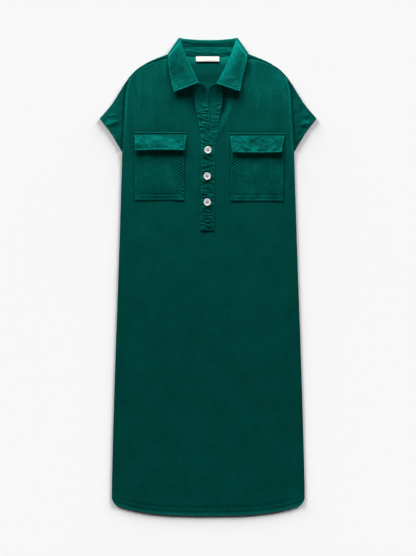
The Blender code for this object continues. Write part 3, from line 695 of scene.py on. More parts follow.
def weave_group():
    """Plain weave with slubs, read from flat cloth coordinates in metres."""
    name = "Plain weave"
    if name in bpy.data.node_groups:
        return bpy.data.node_groups[name]
    tree = new_group(
        name,
        [("Vector", "NodeSocketVector", None), ("Spacing", "NodeSocketFloat", 0.0006),
         ("Slubs", "NodeSocketFloat", 1.0)],
        [("Height", "NodeSocketFloat", None), ("Shade", "NodeSocketFloat", None)],
    )
    start = add_node(tree, "NodeGroupInput", (0, 0)).outputs
    split = add_node(tree, "ShaderNodeSeparateXYZ", (1, 0), {0: start["Vector"]})
    waves = []
    for row, axis in enumerate("XY"):
        turns = math_node(tree, "DIVIDE", (2, row), split.outputs[axis], start["Spacing"])
        angle = math_node(tree, "MULTIPLY", (3, row), turns, math.pi)
        waves.append(math_node(tree, "SINE", (4, row), angle))
    parity = math_node(tree, "MULTIPLY", (5, 0), *waves)
    over = math_node(tree, "GREATER_THAN", (6, 0), parity, 0.0)
    warp = math_node(tree, "ABSOLUTE", (5, 1), waves[0])
    weft = math_node(tree, "ABSOLUTE", (5, 2), waves[1])
    pick = add_node(tree, "ShaderNodeMix", (7, 1), {"Factor": over, 2: warp, 3: weft},
                    data_type="FLOAT")
    slubs = []
    for row, scale in enumerate(((1100.0, 26.0, 1.0), (26.0, 1100.0, 1.0))):
        stretch = add_node(tree, "ShaderNodeMapping", (2, 3 + row), {
            "Scale": scale, "Vector": start["Vector"]})
        noise = add_node(tree, "ShaderNodeTexNoise", (3, 3 + row), {
            "Vector": stretch.outputs[0], "Scale": 1.0, "Detail": 1.5, "Roughness": 0.6})
        slubs.append(noise.outputs["Fac"])
    both = math_node(tree, "ADD", (5, 4), *slubs)
    centred = math_node(tree, "SUBTRACT", (6, 4), both, 1.0)
    slub = math_node(tree, "MULTIPLY", (7, 4), centred, start["Slubs"])
    add_node(tree, "NodeGroupOutput", (9, 0), {
        "Height": math_node(tree, "ADD", (8, 1), pick.outputs[0], slub),
        "Shade": math_node(tree, "MULTIPLY_ADD", (8, 4), slub, 0.65, 1.0)})
    return tree


def dye_group():
    """Cloudy change of colour of garment-dyed linen, about 1 all over."""
    name = "Dye clouds"
    if name in bpy.data.node_groups:
        return bpy.data.node_groups[name]
    tree = new_group(
        name,
        [("Strength", "NodeSocketFloat", 0.1)],
        [("Shade", "NodeSocketFloat", None), ("Grain", "NodeSocketFloat", None)],
    )
    start = add_node(tree, "NodeGroupInput", (0, 0)).outputs
    place = add_node(tree, "ShaderNodeTexCoord", (0, 1))
    parts = []
    for row, (scale, detail) in enumerate(((14.0, 3.0), (190.0, 4.0))):
        noise = add_node(tree, "ShaderNodeTexNoise", (1, row), {
            "Vector": place.outputs["Object"], "Scale": scale, "Detail": detail,
            "Roughness": 0.62})
        parts.append(math_node(tree, "SUBTRACT", (2, row), noise.outputs["Fac"], 0.5))
    total = math_node(tree, "MULTIPLY_ADD", (3, 0), parts[1], 1.3, parts[0])
    scaled = math_node(tree, "MULTIPLY", (4, 0), total, start["Strength"])
    add_node(tree, "NodeGroupOutput", (6, 0), {
        "Shade": math_node(tree, "ADD", (5, 0), scaled, 1.0), "Grain": parts[1]})
    return tree


def linen_material(name, colour, worn_and_painted_light, spacing, slubs):
    """Matt linen with its weave and dye. Where the cloth's float attribute is above 0 it turns
    towards the lighter colour, for rubbed edges and for painted highlights; below 0 it darkens, which
    is painted shade.
    """
    if name in bpy.data.materials:
        return bpy.data.materials[name]
    material, tree, shader = new_material(name)
    shader.location = (1500, 0)
    flat = add_node(tree, "ShaderNodeUVMap", (0, 2), uv_map="cloth")
    weave = add_node(tree, "ShaderNodeGroup", (1, 2), {
        "Vector": flat.outputs["UV"], "Spacing": spacing, "Slubs": slubs},
        node_tree=weave_group())
    dye = add_node(tree, "ShaderNodeGroup", (1, 1), {"Strength": 0.55}, node_tree=dye_group())
    grain = dye.outputs["Grain"]
    wear = add_node(tree, "ShaderNodeAttribute", (0, 0), attribute_name="wear").outputs["Fac"]
    # above 0: rubbed edges and painted highlights
    light = math_node(tree, "MAXIMUM", (1, 0), wear, 0.0)
    rough_wear_and_highlight = math_node(tree, "MULTIPLY_ADD", (2, 0), grain, 0.9, light)
    # share of the lighter colour, for rubbed edges and painted highlights
    edge = math_node(tree, "MULTIPLY", (3, 0), rough_wear_and_highlight, light)
    # below 0: painted shade, which darkens the colour
    painted_shade = math_node(tree, "MINIMUM", (1, 4), wear, 0.0)
    painted_shade = math_node(tree, "MULTIPLY_ADD", (2, 4), painted_shade, 0.55, 1.0)
    shades = math_node(tree, "MULTIPLY", (4, 1), dye.outputs["Shade"], weave.outputs["Shade"])
    shades = math_node(tree, "MULTIPLY", (4, 2), shades, painted_shade)
    tint = add_node(tree, "ShaderNodeVectorMath", (5, 0), {
        0: colour_mix(tree, (4, 0), edge, colour, worn_and_painted_light), "Scale": shades}, operation="SCALE")
    feed(tree, shader, {
        "Base Color": tint.outputs[0],
        "Roughness": math_node(tree, "MULTIPLY_ADD", (5, 2), grain, 0.25, 0.82),
        "Normal": bump(tree, (5, 3), weave.outputs["Height"], 0.55, 0.00022),
        "Specular IOR Level": 0.08, "Specular Tint": (0.0, 0.75, 0.62, 1.0),
        "Sheen Weight": 0.04, "Sheen Roughness": 0.45, "Sheen Tint": (0.0, 0.70, 0.58, 1.0)})
    return material


def thread_material(cloth):
    """Sewing thread: a little lighter than the linen, with its twist."""
    name = "sewing_thread"
    if name in bpy.data.materials:
        return bpy.data.materials[name]
    material, tree, shader = new_material(name)
    place = add_node(tree, "ShaderNodeTexCoord", (0, 0))
    twist = add_node(tree, "ShaderNodeTexWave", (1, 0), {
        "Vector": place.outputs["Object"], "Scale": 900.0, "Distortion": 1.5},
        bands_direction="DIAGONAL").outputs["Fac"]
    dark = [value * 0.9 for value in cloth.linen]
    feed(tree, shader, {
        "Base Color": colour_mix(tree, (2, 0), twist, dark, cloth.worn_and_painted_light),
        "Normal": bump(tree, (2, 1), twist, 0.6, 0.0001), "Roughness": 0.55,
        "Specular IOR Level": 0.2, "Specular Tint": (0.02, 0.75, 0.62, 1.0)})
    return material


def shell_material(colour):
    """Milky, polished button shell with faint clouds."""
    material, tree, shader = new_material("milky_shell")
    place = add_node(tree, "ShaderNodeTexCoord", (0, 0))
    clouds = add_node(tree, "ShaderNodeTexNoise", (1, 0), {
        "Vector": place.outputs["Object"], "Scale": 160.0, "Detail": 4.0,
        "Distortion": 1.2}).outputs["Fac"]
    dark, pale = [value * 0.92 for value in colour], [min(value * 1.04, 1.0) for value in colour]
    feed(tree, shader, {
        "Base Color": colour_mix(tree, (2, 0), clouds, dark, pale),
        "Roughness": math_node(tree, "MULTIPLY_ADD", (2, 1), clouds, 0.18, 0.2),
        "Normal": bump(tree, (2, 2), clouds, 0.12, 0.0001),
        "Coat Weight": 0.3, "Coat Roughness": 0.12})
    return material


def tape_material(colour):
    """Woven label tape: a fine plain weave."""
    material, tree, shader = new_material("woven_tape")
    flat = add_node(tree, "ShaderNodeUVMap", (0, 0), uv_map="cloth")
    weave = add_node(tree, "ShaderNodeGroup", (1, 0), {
        "Vector": flat.outputs["UV"], "Spacing": 0.00035, "Slubs": 0.15},
        node_tree=weave_group())
    tint = add_node(tree, "ShaderNodeVectorMath", (3, 0), {
        0: colour, "Scale": weave.outputs["Shade"]}, operation="SCALE")
    feed(tree, shader, {
        "Base Color": tint.outputs[0], "Roughness": 0.5,
        "Normal": bump(tree, (3, 1), weave.outputs["Height"], 0.4, 0.0001)})
    return material


def linen(cloth):
    return linen_material("dyed_linen", cloth.linen, cloth.worn_and_painted_light, cloth.weave, 1.0)


# ================================================================ the front and the back
ARM_SEAM = {side: Seam([Point(side * p.x, p.y) for p in ARMHOLE]) for side in (-1, 1)}


def shoulder_lines():
    """The shoulder's edge, its outward directions, and the seam on the front side."""
    edge = np.array([(row.x, row.y) for row in SHOULDER])
    before = edge[[0, *range(len(edge) - 1)]]
    after = edge[[*range(1, len(edge)), len(edge) - 1]]
    along = (after - before) / np.linalg.norm(after - before, axis=1)[:, None]
    normals = np.stack([-along[:, 1], along[:, 0]], axis=1)
    wraps = np.array([row.wrap for row in SHOULDER])
    return edge, normals, edge - normals * wraps[:, None]


def shoulder_seam(side):
    seam = shoulder_lines()[2]
    return Seam([(side * x, y) for x, y in seam])


def patch_seams():
    """The lines that the pockets and their flaps are sewn along."""
    seams = []
    for pocket, flap in zip(POCKETS, FLAPS):
        side = pocket.side
        seams.append(Seam([
            (side * pocket.top_in, pocket.top_y), (side * pocket.low_in, pocket.low_y),
            (side * pocket.low_out, pocket.low_y), (side * pocket.top_out, pocket.top_y),
        ], smooth=False))
        seams.append(Seam([
            (side * flap.top_in, flap.top_y), (side * flap.top_out, flap.top_y),
        ], smooth=False))
    return seams


def collar_rise(x, y):
    """How the front lifts towards the collar that stands on it."""
    return 6.4 * np.clip((y - 446.0) / 54.0, 0.0, 1.0) ** 2 * ease((80.0 - np.abs(x)) / 35.0)


def front_height(x, y, pucker):
    """Middle of the front's wall: its dips at side and hem, its creases and puckers."""
    under_arm = ease((y - 286.0) / 42.0)
    side = read_profile(SIDE_PROFILE, edge_x(y) - np.abs(x))
    side = side * (1 - under_arm) + FRONT_LEVEL * under_arm
    low = np.minimum(side, read_profile(HEM_PROFILE, y - hem_y(x)))
    free = (low / FRONT_LEVEL) ** 2
    covered = np.zeros(np.shape(x))
    for pocket in POCKETS:
        inside = ease((pocket.side * x - pocket.top_in + 3) / 5)
        inside = inside * ease((pocket.top_out + 3 - pocket.side * x) / 5)
        inside = inside * ease((y - pocket.low_y + 3) / 5) * ease((pocket.top_y + 26 - y) / 5)
        covered = np.maximum(covered, inside)
    strip_left = np.interp(y, [p.y for p in OVER_LEFT], [p.x for p in OVER_LEFT])
    strip_right = np.interp(y, [p.y for p in UNDER_RIGHT], [p.x for p in UNDER_RIGHT])
    strip = ease((x - strip_left + 3) / 5) * ease((strip_right + 3 - x) / 5) * ease((y - 116) / 5)
    covered = np.maximum(covered, strip)
    upper = ease((y - 60.0) / 90.0)
    soft = (0.36 + 0.24 * upper) * rumple(x, y, 46.0, 11)
    soft = soft + (0.12 + 0.16 * upper) * uneven(x, y, 9.0, 60.0, 12)
    height = low + free * (1 - 0.75 * covered) * (crease_height(FRONT_CREASES, x, y) + soft)
    low_end = 1.0 - ease((y - 135.0) / 20.0)
    height = height - 0.45 * covered - (0.45 + 0.7 * low_end) * strip + collar_rise(x, y)
    gather = ease((y - 425.0) / 30.0) * ease((78.0 - np.abs(x)) / 30.0)
    height = height + 0.8 * pucker * gather * (1 - covered) * uneven(x, y, 6.5, 60.0, 19)

    for number, side_sign in enumerate((-1, 1)):
        along, away = ARM_SEAM[side_sign].place(x, y)
        height = height + 0.75 * ridge(away, 4.5, 3.0) - 1.0 * ridge(away, 0.0, 1.6)
        height = height + 0.30 * pucker * drawn(along, away, 8.0, 16.0, 40 + number)
        along, away = shoulder_seam(side_sign).place(x, y)
        height = height - 0.8 * ridge(away, 0.0, 1.8) + 0.35 * ridge(away, 4.0, 2.2)
        height = height + 0.25 * pucker * drawn(along, away, 9.0, 14.0, 44 + number)
    for number, seam in enumerate(patch_seams()):
        along, away = seam.place(x, y)
        height = height + 0.6 * pucker * (1 - 0.8 * covered) * drawn(
            along, away, 6.5, 15.0, 50 + number, slant=0.5)
    for number, points in enumerate((OVER_LEFT, UNDER_RIGHT)):
        along, away = Seam(points).place(x, y)
        height = height + 0.6 * pucker * (1 - 0.8 * covered) * drawn(
            along, away, 8.0, 15.0, 60 + number, slant=0.5)
    hem = np.abs(y - hem_y(x))
    height = height + 0.32 * pucker * drawn(x + HEM_HALF, np.abs(hem - HEM_BAND), 7.5, 16.0, 70,
                                            slant=0.6)
    return height


def front_wear_and_painted_light(x, y):
    """Rubbed edges and painted light of the front, lighter above 0 and darker below 0: rubbed hem and
    side edges, random streaks, painted highlights on ridges, shoulders and the right side, and
    painted shade in seams, creases and beside the placket.
    """
    wear = 0.9 * ridge(y - hem_y(x), 3.5, 4.0)
    wear = wear + 0.25 * ridge(edge_x(y) - np.abs(x), 1.0, 3.0)
    for side in (-1, 1):
        # armhole: painted highlight on the raised body side, painted shade in the seam
        along, away = ARM_SEAM[side].place(x, y)
        wear = wear + 0.45 * ridge(away, 4.5, 2.5) - 0.8 * ridge(away, 0.0, 1.6)
    # painted shade along the pocket and flap seams
    for seam in patch_seams():
        along, away = seam.place(x, y)
        wear = wear - 0.4 * ridge(away, 2.0, 2.4)
    # painted shade along the placket's seams, and in a broad band beside its top
    for points in (OVER_LEFT, UNDER_RIGHT):
        along, away = Seam(points).place(x, y)
        wear = wear - 0.6 * ridge(away, 1.0, 2.2) * ease((y - 340.0) / 60.0)
        wear = wear - 0.7 * ridge(away, 4.0, 9.0) * ease((y - 412.0) / 30.0)
    # upper part: a little lighter, with random streaks, and with painted highlights and painted shade
    # along the creases
    upper = ease((y - 120.0) / 200.0)
    streaks = uneven(x, y, 11.0, 85.0, 21) + 0.6 * uneven(x, y, 27.0, 60.0, 23)
    streaks = streaks + crease_height(FRONT_CREASES, x, y)
    wear = wear + upper * (0.05 + 0.26 * streaks)
    # painted highlight along the right side edge
    wear = wear + 0.25 * ridge(edge_x(y) - x, 2.0, 6.0) * ease((y + 430.0) / 200.0)
    # hem: painted shade in the stitch groove and above the band, painted highlight on the band
    hem = y - hem_y(x)
    wear = wear - 0.5 * ridge(hem, 10.5, 1.6) + 0.35 * ridge(hem, 15.5, 2.0)
    wear = wear - 0.3 * ridge(hem, 24.0, 4.0) * ease((215.0 - np.abs(x)) / 20.0)
    # a lighter patch at the right hem corner
    wear = wear + 0.5 * ridge(np.hypot(x - 226.0, (y + 570.0) / 1.3), 0.0, 24.0)
    # painted light on the shoulders, stronger on the right, and on the right upper chest
    shoulder = ease((y - 430.0) / 70.0) * ease((np.abs(x) - 80.0) / 40.0)
    return wear + np.where(x < 0, 0.25, 0.42) * shoulder + 0.1 * ease((y - 380.0) / 40.0) * (x > 0)


def half_panel(rows, columns, top):
    """Plan points of half a panel, from the hem up to the given top edge."""
    table = finer(rows)
    start = np.concatenate([table[:, :2], top[:1]])
    outer = np.stack([edge_x(table[:, 2]), table[:, 2]], axis=1)
    end = np.concatenate([outer, top[-1:]])
    hem_x = columns * HEM_HALF
    hem = np.stack([hem_x, hem_y(hem_x)], axis=1)
    end[0] = hem[-1]
    return coons(hem, top, start, end, shares_of(start), columns)


def front_sheets(pucker):
    _, normals, seam = shoulder_lines()
    columns = graded(FRONT_COLUMNS, HEM_HALF)
    top = smooth_line(seam - normals * SEAM_GAP * 2, columns)
    extra = smooth_line([(83.0, 551.0), tuple(top[0])], even(5))[1:-1]
    rows = list(FRONT_ROWS)
    last = FRONT_ROWS[-1]
    for share, point in zip(even(5)[1:-1], extra):
        outer = last.outer_y + (top[-1][1] - last.outer_y) * share
        rows.append(Row(point[0], point[1], outer, 4.0))
    plan = half_panel(rows, columns, top)
    sheets = []
    for side in (-1, 1):
        x, y = side * plan[..., 0], plan[..., 1]
        z = front_height(x, y, pucker)
        sheets.append(laid(x, y, z, front_wear_and_painted_light(x, y)))
    return sheets


def back_height(x, y):
    """Middle of the back's wall: on the floor, and up on the collar round the neck."""
    across = (x - NECK_CENTRE.x) / NECK_RADII.x
    along = (y - NECK_CENTRE.y) / NECK_RADII.y
    share = (NECK_END - np.hypot(across, along)) / (NECK_END - NECK_FULL)
    return BACK_LEVEL + (RAISED_LEVEL - BACK_LEVEL) * ease(share)


def back_sheets(pucker):
    """The flat panel, and its shoulders wrapped over to the seam on the front side."""
    edge, normals, seam = shoulder_lines()
    radii = (SHOULDER_LEVEL - back_height(edge[:, 0], edge[:, 1])) / 2
    fold = edge - normals * (radii + WALL / 2)[:, None]
    shares = even(60)
    fold_line = smooth_line(fold, shares)
    fold_radii = np.interp(shares, shares_of(edge), radii)
    out = smooth_line(normals, shares)
    out = out / np.linalg.norm(out, axis=1)[:, None]
    seam_line = smooth_line(seam, shares)
    neck = smooth_line([*BACK_NECK, tuple(fold[0])], even(36))
    top = np.concatenate([neck, fold_line[1:]])
    columns = top[:, 0] / top[-1, 0]
    plan = half_panel(BACK_ROWS, columns, top)
    sheets = []
    for side in (-1, 1):
        x, y = side * plan[..., 0], plan[..., 1]
        z = back_height(x, y)
        lifted = ease((z - BACK_LEVEL) / (RAISED_LEVEL - BACK_LEVEL))
        z = z + 0.3 * lifted * rumple(x, y, 26.0, 91) * ease((575.0 - y) / 12.0)
        z = z + 0.8 * ease((y - 500.0) / 60.0) * ease((70.0 - np.abs(x)) / 30.0) * (
            1 - ease((y - 561.0) / 6.0))
        sheets.append(laid(x, y, z, np.zeros(x.shape)))
        rows = [np.stack([fold_line[:, 0], fold_line[:, 1],
                          back_height(fold_line[:, 0], fold_line[:, 1])], axis=1)]
        for step in range(1, FOLD_STEPS + 1):
            angle = math.pi * step / FOLD_STEPS - math.pi / 2
            place = fold_line + out * (fold_radii * math.cos(angle))[:, None]
            height = SHOULDER_LEVEL - fold_radii + fold_radii * math.sin(angle)
            rows.append(np.column_stack([place, height]))
        for share in (0.3, 0.6, 0.85, 1.0):
            place = rows[FOLD_STEPS][:, :2] * (1 - share) + seam_line * share
            height = SHOULDER_LEVEL - 0.7 * share**3
            rows.append(np.column_stack([place, np.full(len(place), height)]))
        wrap = np.array(rows)
        along = np.tile(shares * 140.0, (len(rows), 1))
        wrinkle = 0.3 * pucker * drawn(along, np.abs(wrap[..., 1] - seam_line[:, 1]), 8.0, 16.0, 95)
        wrap[FOLD_STEPS:, :, 2] += wrinkle[FOLD_STEPS:]
        wrap[..., 0] *= side
        flat = np.stack([along, np.cumsum(np.full(wrap.shape[:2], 1.6), axis=0)], axis=2)
        wear = np.full(wrap.shape[:2], 0.25)
        sheets.append(Sheet(wrap, flat, wear))
    return sheets


# ================================================================ the sleeves
def sleeve_sheet(side, pucker):
    """A flattened tube: upper layer, fold at the underarm, lower layer, upper fold."""
    along = even(SLEEVE_ALONG)
    across = even(SLEEVE_ACROSS)
    tuck = [SLEEVE_TUCK * float(ease((p.y - 482.0) / 24.0)) for p in ARMHOLE[::-1]]
    armhole = [Point(p.x + SEAM_GAP - inside, p.y) for p, inside in zip(ARMHOLE[::-1], tuck)]
    armhole[0] = SLEEVE_TOP[0]
    armhole[-1] = SLEEVE_UNDER[0]
    grid = coons(
        smooth_line(armhole, across), smooth_line(CUFF, across),
        smooth_line(SLEEVE_TOP, along), smooth_line(SLEEVE_UNDER, along), along, across)
    level = read_profile(SLEEVE_STATIONS, along)
    cuff = Seam([Point(side * p.x, p.y) for p in CUFF])
    rings, flats, wears = [], [], []
    for row, height in zip(grid, level):
        radius = (height - BACK_LEVEL) / 2
        inset = radius + WALL / 2
        up = (row[0] - row[1]) / np.linalg.norm(row[0] - row[1])
        down = (row[-1] - row[-2]) / np.linalg.norm(row[-1] - row[-2])
        first, last = row[0] - up * inset, row[-1] - down * inset
        reach = shares_of(row)
        keep = (reach * np.linalg.norm(row[-1] - row[0]) > inset) & (
            (1 - reach) * np.linalg.norm(row[-1] - row[0]) > inset)
        line = smooth_line([tuple(first), *map(tuple, row[keep][::6]), tuple(last)], across)
        x, y = side * line[:, 0], line[:, 1]
        to_cuff, from_cuff = cuff.place(x, y)
        to_arm, from_arm = ARM_SEAM[side].place(x, y)
        edges = ease(across * 12) * ease((1 - across) * 12)
        detail = 0.8 * rumple(x, y, 24.0, 120 + side) + 0.7 * rumple(x, y, 11.0, 122 + side)
        detail = detail + crease_height(SLEEVE_CREASES[side], x, y) * ease(from_arm / 14.0)
        detail = detail + 0.45 * pucker * drawn(
            to_cuff, np.abs(from_cuff - 10.0), 7.0, 15.0, 124 + side, slant=0.7)
        detail = detail + 0.5 * pucker * drawn(to_arm, from_arm, 9.0, 20.0, 130 + side, slant=0.5)
        top = height + detail * edges
        ring = [np.column_stack([line, top])]
        for centre, out, turn in ((last, down, 1), (first, up, -1)):
            angles = turn * (math.pi / 2 - math.pi * np.arange(1, 6) / 6)
            place = centre + out * (radius * np.cos(angles))[:, None]
            lift = BACK_LEVEL + radius + radius * np.sin(angles)
            ring.append(np.column_stack([place, lift]))
            if turn > 0:
                under = line[::-4]
                ring.append(np.column_stack([under, np.full(len(under), BACK_LEVEL)]))
        ring = np.concatenate([*ring, ring[0][:1]])
        ring[:, 0] *= side
        rings.append(ring)
        flats.append(lengths_along(ring[:, :2]))
        # rubbed cuff edge and random tone; painted light away from the armhole; painted shade in and
        # beside the armhole seam and in the cuff's stitch groove
        worn_and_painted_light = np.zeros(len(ring))
        worn_and_painted_light[:len(line)] = (
            0.45 * ridge(from_cuff, 0.5, 3.0) + 0.5 * rumple(x, y, 16.0, 135 + side) + 0.15
            + 0.6 * ease((from_arm - 10.0) / 34.0) - 1.0 * ridge(from_arm, 1.5, 3.6)
            - 0.15 * ridge(from_arm, 0.0, 20.0) - 0.5 * ridge(from_cuff, 11.0, 1.6))
        wears.append(worn_and_painted_light)
    points = np.array(rings)
    rows = np.array(flats)
    lengths = np.repeat((along * 72.0)[:, None], rows.shape[1], axis=1)
    return Sheet(points, np.stack([lengths, rows], axis=2), np.array(wears))


# ================================================================ the collar
def fold_rows(front, fold, back):
    """The collar strip's ends round the folded edge at the shoulder, in 3D."""
    upper, lower = (np.array([p.x, p.y, 0.0]) for p in fold)
    along = (lower - upper) / np.linalg.norm(lower - upper)
    out = np.array([-along[1], along[0], 0.0])
    bottom = back[0].upper_z
    radius = (front[-1].lower_z - bottom) / 2
    inset = out * (radius + WALL / 2)
    rows = []
    for step in range(FOLD_STEPS + 1):
        angle = math.pi / 2 - math.pi * step / FOLD_STEPS
        shell = out * radius * math.cos(angle) - inset
        shell[2] = bottom + radius + radius * math.sin(angle)
        rows.append((upper + shell, lower + shell))
    return rows


def section_lines(sections):
    """The upper and lower ends of sections as two lists of 3D points."""
    upper = [np.array([s.upper_x, s.upper_y, s.upper_z]) for s in sections]
    lower = [np.array([s.lower_x, s.lower_y, s.lower_z]) for s in sections]
    return upper, lower


def smooth_line_3d(points, count):
    """Even points on a smooth curve through 3D points."""
    points = np.array(points)
    padded = np.column_stack([points, np.zeros(len(points))])
    return smooth_line([tuple(point) for point in padded], even(count))[:, :3]


def collar_half(side, front, fold, back):
    """Half of a collar strip: leaf rows, fold rows and back rows of (upper, lower)."""
    turned = fold_rows(front, fold, back)
    front_upper, front_lower = section_lines(front)
    back_upper, back_lower = section_lines(back)
    length = np.linalg.norm(front_upper[0] - turned[0][0])
    count = int(length / LEAF_STEP)
    parts = [(smooth_line_3d([*front_upper, turned[0][0]], count),
              smooth_line_3d([*front_lower, turned[0][1]], count))]
    parts.append((np.array([row[0] for row in turned[1:]]), np.array([row[1] for row in turned[1:]])))
    count = int(np.linalg.norm(back_upper[-1] - turned[-1][0]) / 2.2)
    parts.append((smooth_line_3d([turned[-1][0], *back_upper], count)[1:],
                  smooth_line_3d([turned[-1][1], *back_lower], count)[1:]))
    upper = np.concatenate([part[0] for part in parts])
    lower = np.concatenate([part[1] for part in parts])
    upper[:, 0] *= side
    lower[:, 0] *= side
    return upper, lower, [len(part[0]) for part in parts]


def strip_grid(upper, lower, columns):
    """A collar strip's points between its edges, and their flat places."""
    share = even(columns)[None, :, None]
    points = upper[:, None] * (1 - share) + lower[:, None] * share
    width = np.linalg.norm(lower - upper, axis=1)
    flat = np.stack([np.repeat(lengths_along(upper)[:, None], columns + 1, axis=1),
                     width[:, None] * even(columns)[None, :]], axis=2)
    return points, flat


def before_fold(count):
    """1 along a leaf's rows and 0 where they reach the fold at the shoulder."""
    return ease((count - 1 - np.arange(count)) / 12.0)


def raise_leaf(side, leaf, flat, pucker):
    """Curl, swell and gathers of a leaf, raised in place. Returns its rubbed edges and painted light:
    painted highlights above 0 and painted shade below 0.
    """
    x, y = leaf[..., 0], leaf[..., 1]
    along, from_roll = flat[..., 0], flat[..., 1]
    from_edge = flat[:, -1:, 1] - from_roll
    from_end = along * 0.93
    u = np.broadcast_to(even(LEAF_COLUMNS)[None, :], x.shape)
    settle = before_fold(len(leaf))[:, None]
    curl = 2.8 * np.clip(1 - from_end / 36.0, 0.0, 1.0) ** 2
    curl = curl * (0.1 + 0.9 * u)
    curl = curl + 1.8 * np.clip(1 - from_edge / 20.0, 0.0, 1.0) ** 2
    curl = curl + 3.2 - 2.8 * np.clip(1 - from_roll / 24.0, 0.0, 1.0) ** 2
    swell = (1.7 if side < 0 else 1.4) * np.sin(2 * math.pi * (along[-1] - along) / 108.0)
    rise = crease_height(LEAF_CREASES[side], x, y) + swell
    rise = rise + 0.9 * rumple(x, y, 26.0, 140 + side)
    ticks = pucker * gathered(along, from_edge, 6.9, 20.0, 150 + side, slant=0.2)
    ticks = ticks * ease(from_edge / 5.0)
    rise = rise + 2.2 * ticks
    rise = rise + 0.7 * pucker * drawn(from_edge, from_end, 7.0, 15.0, 160 + side)
    edge_band = 0.4 * ridge(from_edge, 2.0, 2.6) + 0.4 * ridge(from_end, 2.0, 2.6)
    edge_band = edge_band - 0.4 * ridge(from_edge, 6.0, 1.4) - 0.4 * ridge(from_end, 6.0, 1.4)
    leaf[..., 2] += settle * (curl + rise * ease(u * 8) + edge_band)
    leaf[..., :2] *= 1 - (leaf[..., 2:] - 7.0) / VIEW_HEIGHT
    # rubbed edges; painted light towards the top and on the right leaf's upper part and roll side;
    # lighter towards the outer edge and end; random tone; painted highlights on crests, painted shade
    # in troughs and between the gathers
    return (0.5 * ridge(from_edge, 0.0, 2.6) + 0.75 * ridge(from_end, 0.0, 2.6)
            + 0.6 * ridge(from_roll, 0.0, 2.4) + 0.45 * ease((y - 572.0) / 30.0)
            + (0.0 if side < 0 else 0.3) * ease((y - 515.0) / 40.0)
            + (0.0 if side < 0 else 0.8) * ridge(from_roll, 3.0, 15.0)
            * ease((y - 490.0) / 50.0)
            + 0.4 * np.exp(-from_edge / 12.0) + 0.1 * np.exp(-from_end / 12.0)
            + 0.3 * rumple(x, y, 19.0, 145 + side)
            + 0.7 * crests(leaf[..., 2], 4) + 0.8 * np.minimum(ticks, 0.1))


def roll_edge(edge, direction, reach):
    """The leaf's cloth turned under along its roll edge."""
    direction[:, 2] = 0.0
    direction = direction / np.linalg.norm(direction, axis=1)[:, None]
    radius = ROLL_RADIUS * (0.25 + 0.75 * before_fold(len(edge)))
    rows = []
    for step in range(9):
        angle = math.pi * step / 8
        place = edge + direction * (-radius * math.sin(angle))[:, None]
        place[:, 2] = edge[:, 2] - radius * (1 - math.cos(angle))
        rows.append(place)
    for reach_in in (1.5, 3.5):
        place = edge + direction * reach_in
        place[:, 2] = edge[:, 2] - 2 * radius - 0.06 * reach_in
        rows.append(place)
    tuck = np.array(rows)
    number = np.broadcast_to(np.arange(len(rows))[:, None], tuck.shape[:2])
    flat = np.stack([np.broadcast_to(reach, tuck.shape[:2]), -number * 0.5], axis=2)
    return Sheet(tuck, flat, np.clip(0.9 - 0.12 * number, 0.0, 1.0))


def neck_roll(behind):
    """The collar's roll behind the neck, from its back edge to the seam with the stand."""
    radius = (ROLL_TOP - BACK_LEVEL) / 2
    rows = [behind]
    for step in range(1, 9):
        angle = math.pi * step / 8 - math.pi / 2
        place = behind.copy()
        place[:, 1] += ROLL_DEPTH * math.cos(angle)
        place[:, 2] = BACK_LEVEL + radius * (1 + math.sin(angle))
        rows.append(place)
    crest = rows[-1]
    seam = RAISED_LEVEL + STAND_LIFT
    for down in np.linspace(0.08, 1.0, 12):
        place = crest.copy()
        place[:, 1] = crest[:, 1] * (1 - down) + FALL_SEAM_Y * down
        fallen = float(ease((down - 0.15) / 0.85))
        place[:, 2] = ROLL_TOP + (seam - ROLL_TOP) * fallen
        place[:, 2] += 0.5 * math.sin(math.pi * down) * uneven(
            place[:, 0], place[:, 1], 17.0, 9.0, 170)
        rows.append(place)
    roll = np.array(rows)
    number = np.broadcast_to(np.arange(len(rows))[:, None], roll.shape[:2])
    flat = np.stack([np.broadcast_to(behind[:, 0], roll.shape[:2]), number * 1.1], axis=2)
    return Sheet(roll, flat, 0.5 * ridge(number, 6.5, 2.5))


def fall_sheets(pucker):
    """The leaves, the fall under the back, and the roll behind the neck."""
    sheets = []
    for side, front in ((-1, LEFT_LEAF), (1, RIGHT_LEAF)):
        upper, lower, counts = collar_half(side, front, FALL_FOLD, FALL_BACK)
        points, flat = strip_grid(upper, lower, LEAF_COLUMNS)
        leaf = counts[0]
        wear = np.zeros(points.shape[:2])
        wear[:leaf] = raise_leaf(side, points[:leaf], flat[:leaf], pucker)
        sheets.append(Sheet(points, flat, np.clip(wear, -0.6, 1.0)))
        sheets.append(roll_edge(points[:leaf, 0], (lower - upper)[:leaf], flat[:leaf, 0, 0]))
        sheets.append(neck_roll(upper[leaf + counts[1] - 1:]))
    return sheets


